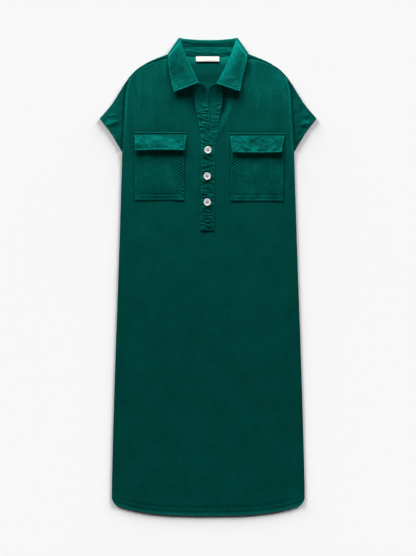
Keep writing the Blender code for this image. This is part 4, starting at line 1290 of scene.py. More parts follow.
def stand_sheets(pucker):
    """The band between the neckline and the fall, raised behind the neck."""
    sheets = []
    for side in (-1, 1):
        upper, lower, counts = collar_half(side, STAND_FRONT, STAND_FOLD, STAND_BACK)
        points, flat = strip_grid(upper, lower, STAND_COLUMNS)
        first = counts[0] + counts[1]
        x, y = points[first:, :, 0], points[first:, :, 1]
        u = np.broadcast_to(even(STAND_COLUMNS)[None, :], x.shape)
        settle = ease(np.arange(len(x)) / 10.0)[:, None]
        lift = (STAND_LIFT + 0.9 * ease(u / 0.6)) * ease((1 - u) / 0.42)
        wrinkle = 0.6 * pucker * wrinkled(x, y, 22.0, 3.2, 0.1, 181)
        lift = lift + wrinkle * ease(u * 6) * ease((1 - u) * 6)
        points[first:, :, 2] += settle * lift
        # a little lighter all over, with painted highlights on wrinkle crests and painted shade in
        # their troughs
        sheets.append(Sheet(points, flat, 0.12 + 0.5 * crests(points[..., 2], 2)))
    return sheets


# ================================================================ placket, pockets, flaps
def near_buttons(x, y):
    """1 at the buttons and 0 away from them."""
    total = np.zeros(np.shape(x))
    for _, centre in BUTTONS:
        away = np.hypot(x - centre.x, y - centre.y)
        total = np.maximum(total, 1.0 - ease((away - 9.5) / 3.5))
    return total


def strip_sheet(left, right, top, bottom, height):
    """One strip of the placket between its edges, at what the height function gives."""
    across = even(round(STRIP_WIDTH / PLACKET_STEP))
    along = even(round(STRIP_LENGTH / PLACKET_STEP))
    plan = coons(smooth_line(bottom, across), smooth_line(top, across),
                 smooth_line(left, along), smooth_line(right, along), along, across)
    x, y = plan[..., 0], plan[..., 1]
    from_left = np.broadcast_to(across * STRIP_WIDTH, x.shape)
    from_right = STRIP_WIDTH - from_left
    z = height(x, y, from_left, from_right)
    # rubbed edges; painted highlights on wrinkle crests and painted shade in their troughs; painted
    # light on the upper part of the strips
    wear = 0.45 * ridge(from_left, 1.5, 2.0) + 1.0 * ridge(from_right, 0.5, 2.2)
    wear = (wear + 0.4 * crests(z, 3)) * ease((500.0 - y) / 60.0)
    wear = wear + 0.4 * ease((y - 290.0) / 80.0) * ease((462.0 - y) / 24.0)
    return laid(x, y, z, np.clip(wear, -0.7, 1.0))


def under_edge(y):
    """Where the lower strip's free edge runs."""
    line = np.array(UNDER_LEFT)
    return np.interp(y, line[:, 1], line[:, 0])


def over_height(x, y, from_left, from_right):
    """The upper strip lies on the front and climbs over the lower strip's free edge."""
    z = ON_FRONT - 0.93 + STEP_UP * ease((x - under_edge(y) + LIFT_START) / LIFT_WIDTH)
    z = z + collar_rise(x, y) * (1 + 0.9 * ease(from_left / 20.0))
    pulled = near_buttons(x, y)
    left = drawn(y - OVER_FOOT, from_left, 8.4, 26.0, 201, slant=0.9)
    right = drawn(y - OVER_FOOT, from_right, 7.6, 26.0, 202, slant=0.9)
    wave = 1.0 * left + 1.0 * right + 1.2 * wrinkled(x, y, 15.0, 3.3, 0.12, 205)
    upper = ease((y - 436.0) / 26.0)
    lift = np.maximum(1.2 + 1.05 * wave, 0.0) * (1 - 0.9 * pulled) * (1 - 0.8 * upper)
    lift = lift + 0.7 * upper * uneven(x, y, 6.0, 60.0, 207)
    for _, centre in BUTTONS:
        away = np.hypot(x - centre.x, y - centre.y)
        lift = lift + 0.8 * ridge(away, 15.0, 2.2) - 0.3 * ridge(away, 11.5, 1.6)
    inside = ease(from_left / 4) * ease(from_right / 4) * ease((y - OVER_FOOT) / 4)
    band = 0.15 * ridge(from_left, 1.8, 1.7) + 0.3 * ridge(from_right, 1.8, 1.7)
    bottom = 1.0 - ease((y - OVER_FOOT) / 25.0)
    return z + lift * (0.2 + 0.8 * inside) + band + 0.45 * pulled - 0.75 * bottom


def under_height(x, y, from_left, from_right):
    """The lower strip lies on the front, and wrinkles where the upper one leaves it bare."""
    bare = ease((from_left - 14.0) / 8.0)
    wave = drawn(y - UNDER_FOOT, from_right, 7.6, 26.0, 211, slant=0.8)
    wave = wave + 1.3 * wrinkled(x, y, 14.0, 3.3, -0.12, 213)
    low = bare * ease((y - 325.0) / 70.0)
    rise = collar_rise(x, y) * (1 + 0.75 * ease(from_right / 20.0))
    z = ON_FRONT - 0.93 + rise + 0.1 * wave * (1 - low) - 0.7 * (1 - ease((y - UNDER_FOOT) / 25.0))
    upper = ease((y - 436.0) / 26.0)
    low = low * (1 - 0.8 * upper)
    z = z + 0.6 * upper * bare * uneven(x, y, 6.0, 60.0, 217)
    return z + low * np.maximum(0.8 + 0.95 * wave, 0.0) * (0.25 + 0.75 * ease(from_right / 4))


def patch_plan(patch, step):
    """Plan points of a pocket or flap, with each point's distances from its edges."""
    across = even(round((patch.top_out - patch.top_in) / step))
    down = even(round((patch.top_y - patch.low_y) / step))
    v = down[:, None]
    inner = patch.top_in + (patch.low_in - patch.top_in) * v
    outer = patch.top_out + (patch.low_out - patch.top_out) * v
    u = np.broadcast_to(across[None, :], (len(down), len(across)))
    x = patch.side * (inner + (outer - inner) * u)
    y = patch.top_y + (patch.low_y - patch.top_y) * v + 0.0 * u
    return x, y, (outer - inner) * u, (outer - inner) * (1 - u), patch.top_y - y, y - patch.low_y


def pocket_sheet(patch, pucker):
    """A patch pocket: full in the middle, gathered along its sides."""
    x, y, from_in, from_out, from_top, from_low = patch_plan(patch, POCKET_STEP)
    middle = ease(from_in / 40) * ease(from_out / 40) * ease(from_low / 40) * ease(from_top / 20)
    nearest = np.minimum(np.minimum(from_in, from_out), from_low)
    z = ON_FRONT - 0.6 + 0.35 * ease(nearest / 9)
    z = z + 1.0 * middle
    z = z + 0.45 * ridge(nearest, 2.6, 2.0) - 0.25 * ridge(nearest, 6.5, 2.4)
    below = ease(from_top / 26.0 - 0.4)
    band = below * ease((34.0 - from_in) / 14.0) * ease(from_in / 3.0)
    z = z + pucker * band * (0.8 + 1.2 * gathered(from_low, from_in, 7.6, 30.0,
                                                  221 + patch.side, slant=0.55))
    band = below * ease((16.0 - from_out) / 8.0) * ease(from_out / 3.0)
    z = z + pucker * band * (0.3 + 0.75 * gathered(from_low, from_out, 7.0, 14.0,
                                                   224 + patch.side, slant=0.3))
    z = z + pucker * 0.4 * np.maximum(drawn(from_in, from_low, 8.0, 12.0, 227 + patch.side), -0.3)
    fold = ease(from_in / 22) * ease(from_out / 18)
    z = z + fold * (0.25 * ridge(from_low, 11.0, 2.4) - 0.45 * ridge(from_low, 16.0, 2.0))
    z = z + 0.4 * middle * rumple(x, y, 30.0, 230 + patch.side)
    # rubbed edges; lighter at the lower corners; painted highlights on crests and painted shade in
    # troughs; lighter and mottled away from the flap; painted shade in the fold's trough
    wear = 0.3 * ridge(nearest, 0.5, 2.6)
    corner = ridge(np.hypot(from_low - 9.0, np.minimum(from_in, from_out) - 9.0), 0.0, 8.0)
    wear = wear + 0.4 * corner + 0.7 * crests(z, 3)
    wear = wear + below * (0.1 + 0.75 * rumple(x, y, 27.0, 235 + patch.side))
    wear = wear - 0.5 * ridge(from_low, 16.0, 1.6) * fold
    return laid(x, y, z, np.clip(wear, -1.0, 1.0))


def flap_sheet(patch, pucker):
    """A flap: seamed flat along its top, and lifted towards its free lower edge."""
    x, y, from_in, from_out, from_top, from_low = patch_plan(patch, FLAP_STEP)
    bow = 1.6 if patch.side < 0 else -1.2
    across = from_in / (from_in + from_out)
    y = y + bow * np.sin(math.pi * across) * ease(from_top / 50.0)
    z = ON_FRONT + 1.2 * ridge(from_top, 2.8, 1.6)
    z = z + FLAP_RISE * np.clip((from_top - 5.2) / 44.0, 0.0, 1.0) ** 0.85
    loose = ease((from_top - 9.0) / 10.0)
    nearest = np.minimum(np.minimum(from_in, from_out), from_low)
    z = z + loose * (0.5 * ridge(nearest, 2.4, 2.0) - 0.5 * ridge(nearest, 6.0, 1.8))
    z = z + 1.6 * loose * rumple(x, y, 34.0, 241 + patch.side * 3)
    z = z + 2.1 * loose * rumple(x, y, 14.0, 251 + patch.side * 3)
    side = gathered(from_low, np.minimum(from_in, from_out), 5.6, 13.0, 261 + patch.side)
    gather = drawn(from_in, np.abs(from_top - 9.0), 13.0, 20.0, 265 + patch.side, slant=0.7)
    edge = drawn(from_in, from_low, 7.0, 11.0, 269 + patch.side, slant=0.4)
    settled = ease(nearest / 4.0)
    z = z + pucker * loose * settled * (0.9 * side + 0.7 * edge) + pucker * 0.6 * gather * ease(
        (from_top - 8.0) / 6.0)
    z = np.maximum(z, ON_FRONT)
    # rubbed edges, and painted highlight on the ridge along the seam
    wear = 0.55 * ridge(from_low, 0.5, 2.6) + 0.5 * ridge(
        np.minimum(from_in, from_out), 0.5, 2.4) + 0.4 * ridge(from_top, 2.6, 1.6)
    # painted light over the flap, mottled at random, with painted highlights on crests
    painted_flap_light = 0.62 if patch.side < 0 else 0.7
    painted_flap_light = painted_flap_light + 0.9 * rumple(x, y, 22.0, 281 + patch.side) + 0.4 * crests(z, 4)
    wear = wear + ease((from_top - 5.0) / 4.0) * np.clip(painted_flap_light, -0.1, 1.0)
    # painted shade in the groove below the seam's ridge
    wear = wear - 0.9 * ridge(from_top, 5.6, 1.6)
    return laid(x, y, z, np.clip(wear, 0.0, 1.0))


def label_sheet():
    """The neck label, sewn down along its top edge."""
    across, down = even(60)[None, :], even(14)[:, None]
    x = LABEL_LEFT + (LABEL_RIGHT - LABEL_LEFT) * across + 0.0 * down
    y = LABEL_TOP + (LABEL_LOW - LABEL_TOP) * down + 0.0 * across
    middle = np.sin(math.pi * across) * np.sin(math.pi * down) ** 0.5
    z = LABEL_LEVEL + 0.5 * middle + 0.12 * uneven(x, y, 9.0, 20.0, 290)
    z = z - 0.3 * ridge(LABEL_TOP - y, 1.2, 0.8) + 1.1 * ease((LABEL_TOP - y) / 15.0)
    return laid(x, y, z, np.zeros(x.shape))


# ================================================================ buttons and thread
def button_profile(button):
    """Radius and height down the outside of a button, from its middle to its edge."""
    radius, height, rim = button.radius, button.height, button.rim
    dish = height * 0.8
    inner = radius - rim
    points = [(0.0, dish), (inner * 0.35, dish), (inner * 0.7, dish), (inner * 0.86, dish)]
    for share in even(5)[1:]:
        lift = dish + (height - dish) * float(ease(share))
        points.append((inner * 0.86 + (radius - rim * 0.55 - inner * 0.86) * share, lift))
    for angle in np.linspace(math.radians(70), math.radians(-80), 9):
        points.append((radius - 0.0009 + 0.0009 * math.cos(angle),
                       height * 0.62 + height * 0.36 * math.sin(angle)))
    points += [(radius * 0.8, 0.0), (radius * 0.4, 0.0), (0.0, 0.0)]
    return points


def turned(name, profile, sides, place):
    """A closed turned shape: its profile runs from the axis round to the axis."""
    mesh = bmesh.new()
    top = mesh.verts.new((place[0], place[1], place[2] + profile[0][1]))
    low = mesh.verts.new((place[0], place[1], place[2] + profile[-1][1]))
    rings = []
    for radius, height in profile[1:-1]:
        ring = []
        for index in range(sides):
            angle = 2 * math.pi * index / sides
            ring.append(mesh.verts.new((
                place[0] + radius * math.cos(angle), place[1] + radius * math.sin(angle),
                place[2] + height)))
        rings.append(ring)
    for index in range(sides):
        after = (index + 1) % sides
        mesh.faces.new((top, rings[0][index], rings[0][after]))
        mesh.faces.new((low, rings[-1][after], rings[-1][index]))
        for near, far in zip(rings, rings[1:]):
            mesh.faces.new((near[index], far[index], far[after], near[after]))
    bmesh.ops.recalc_face_normals(mesh, faces=mesh.faces)
    return mesh_data(name, mesh, smooth=True)


def cut_button(name, centre, button, material):
    """A turned disc with a dish, cut with four holes."""
    place = (centre.x * MM, centre.y * MM, BUTTON_BASE * MM)
    item = new_mesh_object(name, turned(name, button_profile(button), 64, place))
    item.data.materials.append(material)
    cutters = []
    for x in (-1, 1):
        for y in (-1, 1):
            at = (place[0] + x * button.hole_spacing, place[1] + y * button.hole_spacing,
                  place[2] - button.height)
            post = [(0.0, 3 * button.height), (button.hole, 3 * button.height),
                    (button.hole, 0.0), (0.0, 0.0)]
            cutter = new_mesh_object("post", turned("post", post, 20, at), "cutters")
            cut = item.modifiers.new("Hole", "BOOLEAN")
            cut.operation = "DIFFERENCE"
            cut.object = cutter
            cutters.append(cutter)
    graph = bpy.context.evaluated_depsgraph_get()
    item.modifiers.update()
    cut_mesh = bpy.data.meshes.new_from_object(item.evaluated_get(graph))
    item.modifiers.clear()
    item.data = cut_mesh
    cut_mesh.name = name
    cut_mesh.set_sharp_from_angle(angle=math.radians(38))
    for cutter in cutters:
        bpy.data.objects.remove(cutter)
    return item


def add_tube(mesh, points, radius, sides=8):
    """A closed tube along a few points, its ends drawn in to tips."""
    rings = []
    for index, point in enumerate(points):
        before, after = points[max(index - 1, 0)], points[min(index + 1, len(points) - 1)]
        along = (Vector(after) - Vector(before)).normalized()
        side = along.cross(Vector((0.0, 0.0, 1.0))).normalized()
        up = side.cross(along)
        ring = []
        for corner in range(sides):
            angle = 2 * math.pi * corner / sides
            ring.append(mesh.verts.new(
                Vector(point) + side * radius * math.cos(angle) + up * radius * math.sin(angle)))
        rings.append(ring)
    for near, far in zip(rings, rings[1:]):
        for corner in range(sides):
            after = (corner + 1) % sides
            mesh.faces.new((near[corner], near[after], far[after], far[corner]))
    mesh.faces.new(list(reversed(rings[0])))
    mesh.faces.new(rings[-1])


def button_thread(button, material):
    """Strands over each pair of holes of each button."""
    mesh = bmesh.new()
    strand = 0.00024
    for number, (_, centre) in enumerate(BUTTONS):
        base = BUTTON_BASE * MM
        seat = base + button.height * 0.8
        for side in (-1, 1):
            for index in range(4):
                x = centre.x * MM + side * button.hole_spacing + (index - 1.5) * strand * 1.7
                half = button.hole_spacing
                lean = (0.3 if index % 2 else -0.2) * strand * (1 + number)
                points = []
                for share in np.linspace(-1.0, 1.0, 9):
                    arch = strand * (1.2 + 1.2 * (index % 2)) * (1 - abs(share) ** 3)
                    drop = -0.0016 * max(0.0, abs(share) - 0.8) / 0.2
                    points.append((x + lean * share, centre.y * MM + half * share * 1.05,
                                   seat + arch + drop))
                add_tube(mesh, points, strand)
    bmesh.ops.recalc_face_normals(mesh, faces=mesh.faces)
    data = mesh_data("button_thread", mesh, smooth=True)
    data.materials.append(material)
    return new_mesh_object("button_thread", data)


# ================================================================ stitching
def stitch_tree():
    """Geometry Nodes: stitches along guide lines, dropped on to a piece below them."""
    name = "Stitches on cloth"
    if name in bpy.data.node_groups:
        return bpy.data.node_groups[name]
    tree = new_group(
        name,
        [("Guide", "NodeSocketGeometry", None), ("Cloth", "NodeSocketObject", None),
         ("Pitch", "NodeSocketFloat", 0.003), ("Length", "NodeSocketFloat", 0.0024),
         ("Width", "NodeSocketFloat", 0.0005), ("Seed", "NodeSocketInt", 1),
         ("Thread", "NodeSocketMaterial", None)],
        [("Stitches", "NodeSocketGeometry", None)],
        "GeometryNodeTree",
    )
    start = add_node(tree, "NodeGroupInput", (0, 0)).outputs
    curve = add_node(tree, "GeometryNodeMeshToCurve", (1, 0), {0: start["Guide"]})
    spaced = add_node(tree, "GeometryNodeResampleCurve", (2, 0), mode="LENGTH")
    feed(tree, spaced, {"Curve": curve.outputs[0], "Length": start["Pitch"]})
    points = add_node(tree, "GeometryNodeCurveToPoints", (3, 0), {"Curve": spaced.outputs[0]},
                      mode="EVALUATED")
    cloth = add_node(tree, "GeometryNodeObjectInfo", (3, 2), {"Object": start["Cloth"]},
                     transform_space="RELATIVE")
    drop = add_node(tree, "GeometryNodeRaycast", (4, 2), {
        "Target Geometry": cloth.outputs["Geometry"], "Ray Length": 0.2,
        "Ray Direction": (0.0, 0.0, -1.0)})
    keep = add_node(tree, "GeometryNodeCaptureAttribute", (5, 0))
    for kind, label, source in (
        ("FLOAT", "Hit", drop.outputs["Is Hit"]),
        ("VECTOR", "Place", drop.outputs["Hit Position"]),
        ("VECTOR", "Normal", drop.outputs["Hit Normal"]),
        ("VECTOR", "Tangent", points.outputs["Tangent"]),
    ):
        keep.capture_items.new(kind, label)
        feed(tree, keep, {label: source})
    feed(tree, keep, {"Geometry": points.outputs["Points"]})
    kept = keep.outputs
    above = math_node(tree, "MULTIPLY", (5, 2), start["Width"], 0.18)
    lift = add_node(tree, "ShaderNodeVectorMath", (6, 1), {0: kept["Normal"], "Scale": above},
                    operation="SCALE")
    raised = add_node(tree, "ShaderNodeVectorMath", (7, 1), {
        0: kept["Place"], 1: lift.outputs[0]}, operation="ADD")
    move = add_node(tree, "GeometryNodeSetPosition", (8, 0), {
        "Geometry": kept["Geometry"], "Position": raised.outputs[0]})
    missed = math_node(tree, "LESS_THAN", (7, 2), kept["Hit"], 0.5)
    sewn = add_node(tree, "GeometryNodeDeleteGeometry", (9, 0), {
        "Geometry": move.outputs[0], "Selection": missed})
    stand = add_node(tree, "FunctionNodeAlignRotationToVector", (8, 2), {
        "Vector": kept["Normal"]}, axis="Z")
    turn = add_node(tree, "FunctionNodeAlignRotationToVector", (9, 2), {
        "Rotation": stand.outputs[0], "Vector": kept["Tangent"]}, axis="X", pivot_axis="Z")
    vary = add_node(tree, "FunctionNodeRandomValue", (9, 3), {
        0: (0.86, 0.85, 0.8), 1: (1.1, 1.15, 1.2), "Seed": start["Seed"]},
        data_type="FLOAT_VECTOR")
    ball = add_node(tree, "GeometryNodeMeshUVSphere", (8, 4), {
        "Segments": 8, "Rings": 5, "Radius": 0.5})
    size = add_node(tree, "ShaderNodeCombineXYZ", (8, 5), {
        0: start["Length"], 1: start["Width"], 2: start["Width"]})
    quarter = add_node(tree, "GeometryNodeTransform", (9, 4), {
        "Geometry": ball.outputs["Mesh"], "Rotation": (0.0, math.radians(90.0), 0.0)})
    form = add_node(tree, "GeometryNodeTransform", (10, 4), {
        "Geometry": quarter.outputs[0], "Scale": size.outputs[0]})
    smooth = add_node(tree, "GeometryNodeSetShadeSmooth", (11, 4), {
        "Geometry": form.outputs[0]})
    placed = add_node(tree, "GeometryNodeInstanceOnPoints", (11, 0), {
        "Points": sewn.outputs[0], "Instance": smooth.outputs[0],
        "Rotation": turn.outputs[0], "Scale": vary.outputs[0]})
    real = add_node(tree, "GeometryNodeRealizeInstances", (12, 0), {0: placed.outputs[0]})
    paint = add_node(tree, "GeometryNodeSetMaterial", (13, 0), {
        "Geometry": real.outputs[0], "Material": start["Thread"]})
    add_node(tree, "NodeGroupOutput", (14, 0), {0: paint.outputs[0]})
    return tree


def sew(name, cloth_object, lines, stitch, material):
    """One piece of stitching: guide lines in plan, in mm, sewn on to a piece of cloth."""
    guide = bpy.data.meshes.new(name + "_guide")
    verts, edges = [], []
    for line in lines:
        base = len(verts)
        verts += [(x * MM, y * MM, 0.05) for x, y in line]
        edges += [(base + index, base + index + 1) for index in range(len(line) - 1)]
    guide.from_pydata(verts, edges, [])
    source = new_mesh_object(name + "_guide", guide, "guides")
    modifier = source.modifiers.new("Stitches", "NODES")
    modifier.node_group = stitch_tree()
    values = {
        "Cloth": cloth_object, "Pitch": stitch.pitch, "Length": stitch.length,
        "Width": stitch.width, "Seed": stitch.seed, "Thread": material,
    }
    for item in modifier.node_group.interface.items_tree:
        if item.in_out == "INPUT" and item.name in values:
            modifier[item.identifier] = values[item.name]
    graph = bpy.context.evaluated_depsgraph_get()
    data = bpy.data.meshes.new_from_object(source.evaluated_get(graph))
    if not data.polygons:
        raise RuntimeError(name + " found no cloth to sew")
    data.name = name
    bpy.data.objects.remove(source)
    bpy.data.meshes.remove(guide)
    item = new_mesh_object(name, data)
    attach(item, BODY)
    return item


def patch_line(patch, inset, short):
    """The row down, across and up a patch, which starts and ends short of its top edge."""
    side = patch.side
    low = patch.low_y + inset
    corners = [
        (side * (patch.top_in + inset), patch.top_y - short), (side * (patch.low_in + inset), low),
        (side * (patch.low_out - inset), low), (side * (patch.top_out - inset), patch.top_y - short),
    ]
    return [np.array(ends) for ends in zip(corners, corners[1:])]


def moved_in(points, distance):
    """A plan line moved to its left by a distance in mm."""
    line = smooth_line(points, even(60)) if len(points) > 2 else np.array(points, float)[:, :2]
    along = np.gradient(line, axis=0)
    along = along / np.linalg.norm(along, axis=1)[:, None]
    return line + np.stack([-along[:, 1], along[:, 0]], axis=1) * distance


# ================================================================ operators
class DressOperator:
    """What the operators share: their undo step and the scene's settings."""

    bl_options = {"REGISTER", "UNDO"}

    def execute(self, context):
        self.cloth = context.scene.dress_cloth
        self.stitch = context.scene.dress_stitch
        self.build(context.scene)
        return {"FINISHED"}


class DRESS_OT_back(DressOperator, bpy.types.Operator):
    """Make the back panel, with its shoulders wrapped over to the front"""

    bl_idname = "dress.back"
    bl_label = "Back"

    def build(self, scene):
        sheets = back_sheets(self.cloth.pucker)
        item = new_cloth("back_panel", sheets, self.cloth.wall, linen(self.cloth))
        finish_cloth(item, ["back"])


class DRESS_OT_front(DressOperator, bpy.types.Operator):
    """Make the front panel with its V neck, hem, creases and puckers"""

    bl_idname = "dress.front"
    bl_label = "Front"

    def build(self, scene):
        sheets = front_sheets(self.cloth.pucker)
        item = new_cloth("front_panel", sheets, self.cloth.wall, linen(self.cloth))
        finish_cloth(item, ["front"])


class DRESS_OT_sleeves(DressOperator, bpy.types.Operator):
    """Make the two short sleeves, each a flattened tube with a turned hem"""

    bl_idname = "dress.sleeves"
    bl_label = "Sleeves"

    def build(self, scene):
        for side, name in ((-1, "sleeve_left"), (1, "sleeve_right")):
            sheet = sleeve_sheet(side, self.cloth.pucker)
            item = new_cloth(name + "_cloth", [sheet], self.cloth.wall, linen(self.cloth))
            finish_cloth(item, [name])


class DRESS_OT_collar(DressOperator, bpy.types.Operator):
    """Make the collar: its fall with two leaves, and the stand below it"""

    bl_idname = "dress.collar"
    bl_label = "Collar"

    def build(self, scene):
        # the collar gets a lighter copy of the linen, which is painted light
        material = linen_material("pressed_linen", [value * 1.28 for value in self.cloth.linen],
                                  [value * 1.35 for value in self.cloth.worn_and_painted_light], self.cloth.weave,
                                  0.8)
        sheets = fall_sheets(self.cloth.pucker)
        item = new_cloth("collar_fall_cloth", sheets, self.cloth.doubled, material)
        finish_cloth(item, ["collar_fall"])
        sheets = stand_sheets(self.cloth.pucker)
        item = new_cloth("collar_stand_cloth", sheets, self.cloth.doubled, material)
        finish_cloth(item, ["collar_stand"])


class DRESS_OT_placket(DressOperator, bpy.types.Operator):
    """Make the two strips of the placket, the left one on top"""

    bl_idname = "dress.placket"
    bl_label = "Placket"

    def build(self, scene):
        for name, edges, height, below in (
            ("placket_under", (UNDER_LEFT, UNDER_RIGHT, UNDER_TOP, UNDER_BOTTOM), under_height,
             "front_panel"),
            ("placket_over", (OVER_LEFT, OVER_RIGHT, OVER_TOP, OVER_BOTTOM), over_height,
             "placket_under_cloth"),
        ):
            sheet = strip_sheet(*edges, height)
            item = new_cloth(name + "_cloth", [sheet], self.cloth.doubled, linen(self.cloth))
            finish_cloth(item, [name])


class DRESS_OT_pockets(DressOperator, bpy.types.Operator):
    """Make the patch pockets and the flaps above them"""

    bl_idname = "dress.pockets"
    bl_label = "Pockets"

    def build(self, scene):
        for pocket, flap, name in zip(POCKETS, FLAPS, ("left", "right")):
            sheet = pocket_sheet(pocket, self.cloth.pucker)
            item = new_cloth(f"pocket_{name}_cloth", [sheet], self.cloth.wall, linen(self.cloth))
            finish_cloth(item, ["pocket_" + name])
            sheet = flap_sheet(flap, self.cloth.pucker)
            item = new_cloth(f"pocket_flap_{name}_cloth", [sheet], self.cloth.doubled,
                             linen(self.cloth))
            finish_cloth(item, ["pocket_flap_" + name])


class DRESS_OT_buttons(DressOperator, bpy.types.Operator):
    """Make the three buttons and the thread that holds them"""

    bl_idname = "dress.buttons"
    bl_label = "Buttons"

    def build(self, scene):
        button = scene.dress_button
        material = shell_material(self.cloth.shell)
        for name, centre in BUTTONS:
            item = cut_button(name + "_shell", centre, button, material)
            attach(item, BODY)
            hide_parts(name)
        item = button_thread(button, thread_material(self.cloth))
        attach(item, BODY)


class DRESS_OT_label(DressOperator, bpy.types.Operator):
    """Make the bare woven label inside the neck"""

    bl_idname = "dress.label"
    bl_label = "Label"

    def build(self, scene):
        sheet = label_sheet()
        item = new_cloth("neck_label_tape", [sheet], self.cloth.wall, tape_material(self.cloth.tape))
        finish_cloth(item, ["neck_label"])


class DRESS_OT_stitching(DressOperator, bpy.types.Operator):
    """Sew the hems, seams and edges with rows of stitches"""

    bl_idname = "dress.stitching"
    bl_label = "Stitching"

    def build(self, scene):
        thread = thread_material(self.cloth)
        objects = bpy.data.objects
        hem_x = np.linspace(-HEM_HALF + 6, HEM_HALF - 6, 160)
        front = [np.stack([hem_x, hem_y(hem_x) + HEM_BAND], axis=1)]
        for side in (-1, 1):
            arm = [Point(side * p.x, p.y) for p in ARMHOLE]
            front.append(moved_in(arm, 6.0 * side))
            seam = shoulder_lines()[2]
            front.append(moved_in([(side * x, y) for x, y in seam], -4.5 * side))
        sew("front_stitches", objects["front_panel"], front, self.stitch, thread)
        for side, name in ((-1, "left"), (1, "right")):
            cuff = [Point(side * p.x, p.y) for p in CUFF]
            sew(f"sleeve_{name}_stitches", objects[f"sleeve_{name}_cloth"],
                [moved_in(cuff, -10.0 * side)], self.stitch, thread)
        leaf_lines = []
        for side, leaf in ((-1, LEFT_LEAF), (1, RIGHT_LEAF)):
            outer = [Point(side * s.lower_x, s.lower_y) for s in leaf]
            leaf_lines.append(moved_in(outer, 5.0 * side)[2:])
            first = leaf[0]
            ends = [Point(side * first.lower_x, first.lower_y),
                    Point(side * first.upper_x, first.upper_y)]
            leaf_lines.append(moved_in(ends, -5.0 * side))
        sew("collar_stitches", objects["collar_fall_cloth"], leaf_lines, self.stitch, thread)
        sew("placket_over_stitches", objects["placket_over_cloth"],
            [moved_in(OVER_LEFT, -2.6), moved_in(OVER_RIGHT, 2.6), moved_in(OVER_BOTTOM, 3.0),
             moved_in([Point(p.x, p.y + 22.0) for p in OVER_BOTTOM], 0.0)], self.stitch, thread)
        sew("placket_under_stitches", objects["placket_under_cloth"],
            [moved_in(UNDER_RIGHT, 2.4)], self.stitch, thread)
        for pocket, flap, name in zip(POCKETS, FLAPS, ("left", "right")):
            sew(f"pocket_{name}_stitches", objects[f"pocket_{name}_cloth"],
                patch_line(pocket, 2.2, 20), self.stitch, thread)
            seam = [(flap.side * (flap.top_in + 1), flap.top_y - 2.2),
                    (flap.side * (flap.top_out - 1), flap.top_y - 2.2)]
            sew(f"flap_{name}_stitches", objects[f"pocket_flap_{name}_cloth"],
                [*patch_line(flap, 5.6, 12), np.array(seam)], self.stitch, thread)


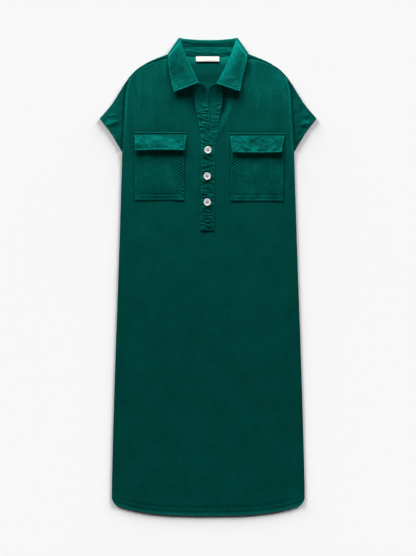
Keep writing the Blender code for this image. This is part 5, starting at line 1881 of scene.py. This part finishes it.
class DRESS_OT_stage(DressOperator, bpy.types.Operator):
    """Set up the pale floor, the soft lights and the camera above"""

    bl_idname = "dress.stage"
    bl_label = "Stage"

    def build(self, scene):
        stage = scene.dress_stage
        mesh = bmesh.new()
        bmesh.ops.create_grid(mesh, x_segments=8, y_segments=8, size=6.0)
        data = mesh_data("floor", mesh)
        material, tree, shader = new_material("floor")
        feed(tree, shader, {"Base Color": (*stage.floor, 1.0), "Roughness": 0.9,
                            "Specular IOR Level": 0.0})
        data.materials.append(material)
        floor = new_mesh_object("floor", data, "stage")

        world = bpy.data.worlds.new("surroundings")
        world.use_nodes = True
        background = world.node_tree.nodes["Background"]
        background.inputs["Color"].default_value = (1.0, 1.0, 1.0, 1.0)
        background.inputs["Strength"].default_value = stage.ambient
        scene.world = world

        dress = bpy.data.collections["shirt_dress"]
        only_floor = bpy.data.collections["stage"]
        for name, power, size, place in (
            ("key", stage.key, (1.8, 0.62), (-0.2, 2.1, 0.60)),
            ("fill", stage.fill, (2.0, 0.7), (0.0, -1.75, 0.50)),
        ):
            lamp = bpy.data.lights.new(name, "AREA")
            lamp.shape = "RECTANGLE"
            lamp.size, lamp.size_y = size
            lamp.energy = power
            place_light(name, lamp, place, (0.0, 0.1, 0.0), dress)
        for name, strength, angle, place, receivers in (
            ("far", stage.far, 16.0, (-0.55, 0.87, 0.28), dress),
            ("floor_left", 8.65, 30.0, (-1.1, 1.3, 0.30), only_floor),
            ("floor_right", 8.65, 30.0, (1.1, 1.3, 0.30), only_floor),
        ):
            sun = bpy.data.lights.new(name, "SUN")
            sun.energy = strength
            sun.angle = math.radians(angle)
            place_light(name, sun, place, (0.0, 0.0, 0.0), receivers)

        scene.view_settings.view_transform = "Standard"
        camera = bpy.data.cameras.new("camera")
        camera.lens = stage.lens
        camera.sensor_fit = "VERTICAL"
        camera.sensor_height = 36.0
        camera.clip_end = 50.0
        item = bpy.data.objects.new("camera", camera)
        height = stage.framed * stage.lens / camera.sensor_height
        item.location = (-0.0005, -0.0035, height + 0.004)
        scene.collection.objects.link(item)
        scene.camera = item


def place_light(name, light, place, target, receivers):
    """A light at a place, turned to a target, that shines on one collection only."""
    item = bpy.data.objects.new(name, light)
    item.location = place
    direction = Vector(target) - Vector(place)
    item.rotation_euler = direction.to_track_quat("-Z", "Y").to_euler()
    bpy.context.scene.collection.objects.link(item)
    item.light_linking.receiver_collection = receivers
    return item


# ================================================================ panel and registration
OPERATORS = (
    DRESS_OT_back,
    DRESS_OT_front,
    DRESS_OT_sleeves,
    DRESS_OT_collar,
    DRESS_OT_placket,
    DRESS_OT_pockets,
    DRESS_OT_buttons,
    DRESS_OT_label,
    DRESS_OT_stitching,
    DRESS_OT_stage,
)


class DRESS_PT_panel(bpy.types.Panel):
    """Lists the settings and the pieces of the dress"""

    bl_idname = "DRESS_PT_panel"
    bl_label = "Shirt dress"
    bl_space_type = "VIEW_3D"
    bl_region_type = "UI"
    bl_category = "Dress"

    def draw(self, context):
        for name in SETTINGS:
            column = self.layout.column(align=True)
            settings = getattr(context.scene, name)
            for key in settings.__annotations__:
                column.prop(settings, key)
        for operator in OPERATORS:
            self.layout.operator(operator.bl_idname)


def register():
    for name, settings in SETTINGS.items():
        bpy.utils.register_class(settings)
        setattr(bpy.types.Scene, name, PointerProperty(type=settings))
    for operator in OPERATORS:
        bpy.utils.register_class(operator)
    bpy.utils.register_class(DRESS_PT_panel)


def unregister():
    bpy.utils.unregister_class(DRESS_PT_panel)
    for operator in reversed(OPERATORS):
        bpy.utils.unregister_class(operator)
    for name, settings in reversed(SETTINGS.items()):
        delattr(bpy.types.Scene, name)
        bpy.utils.unregister_class(settings)


def main():
    register()
    for operator in OPERATORS:
        group, name = operator.bl_idname.split(".")
        getattr(getattr(bpy.ops, group), name)()


if __name__ == "__main__":
    main()
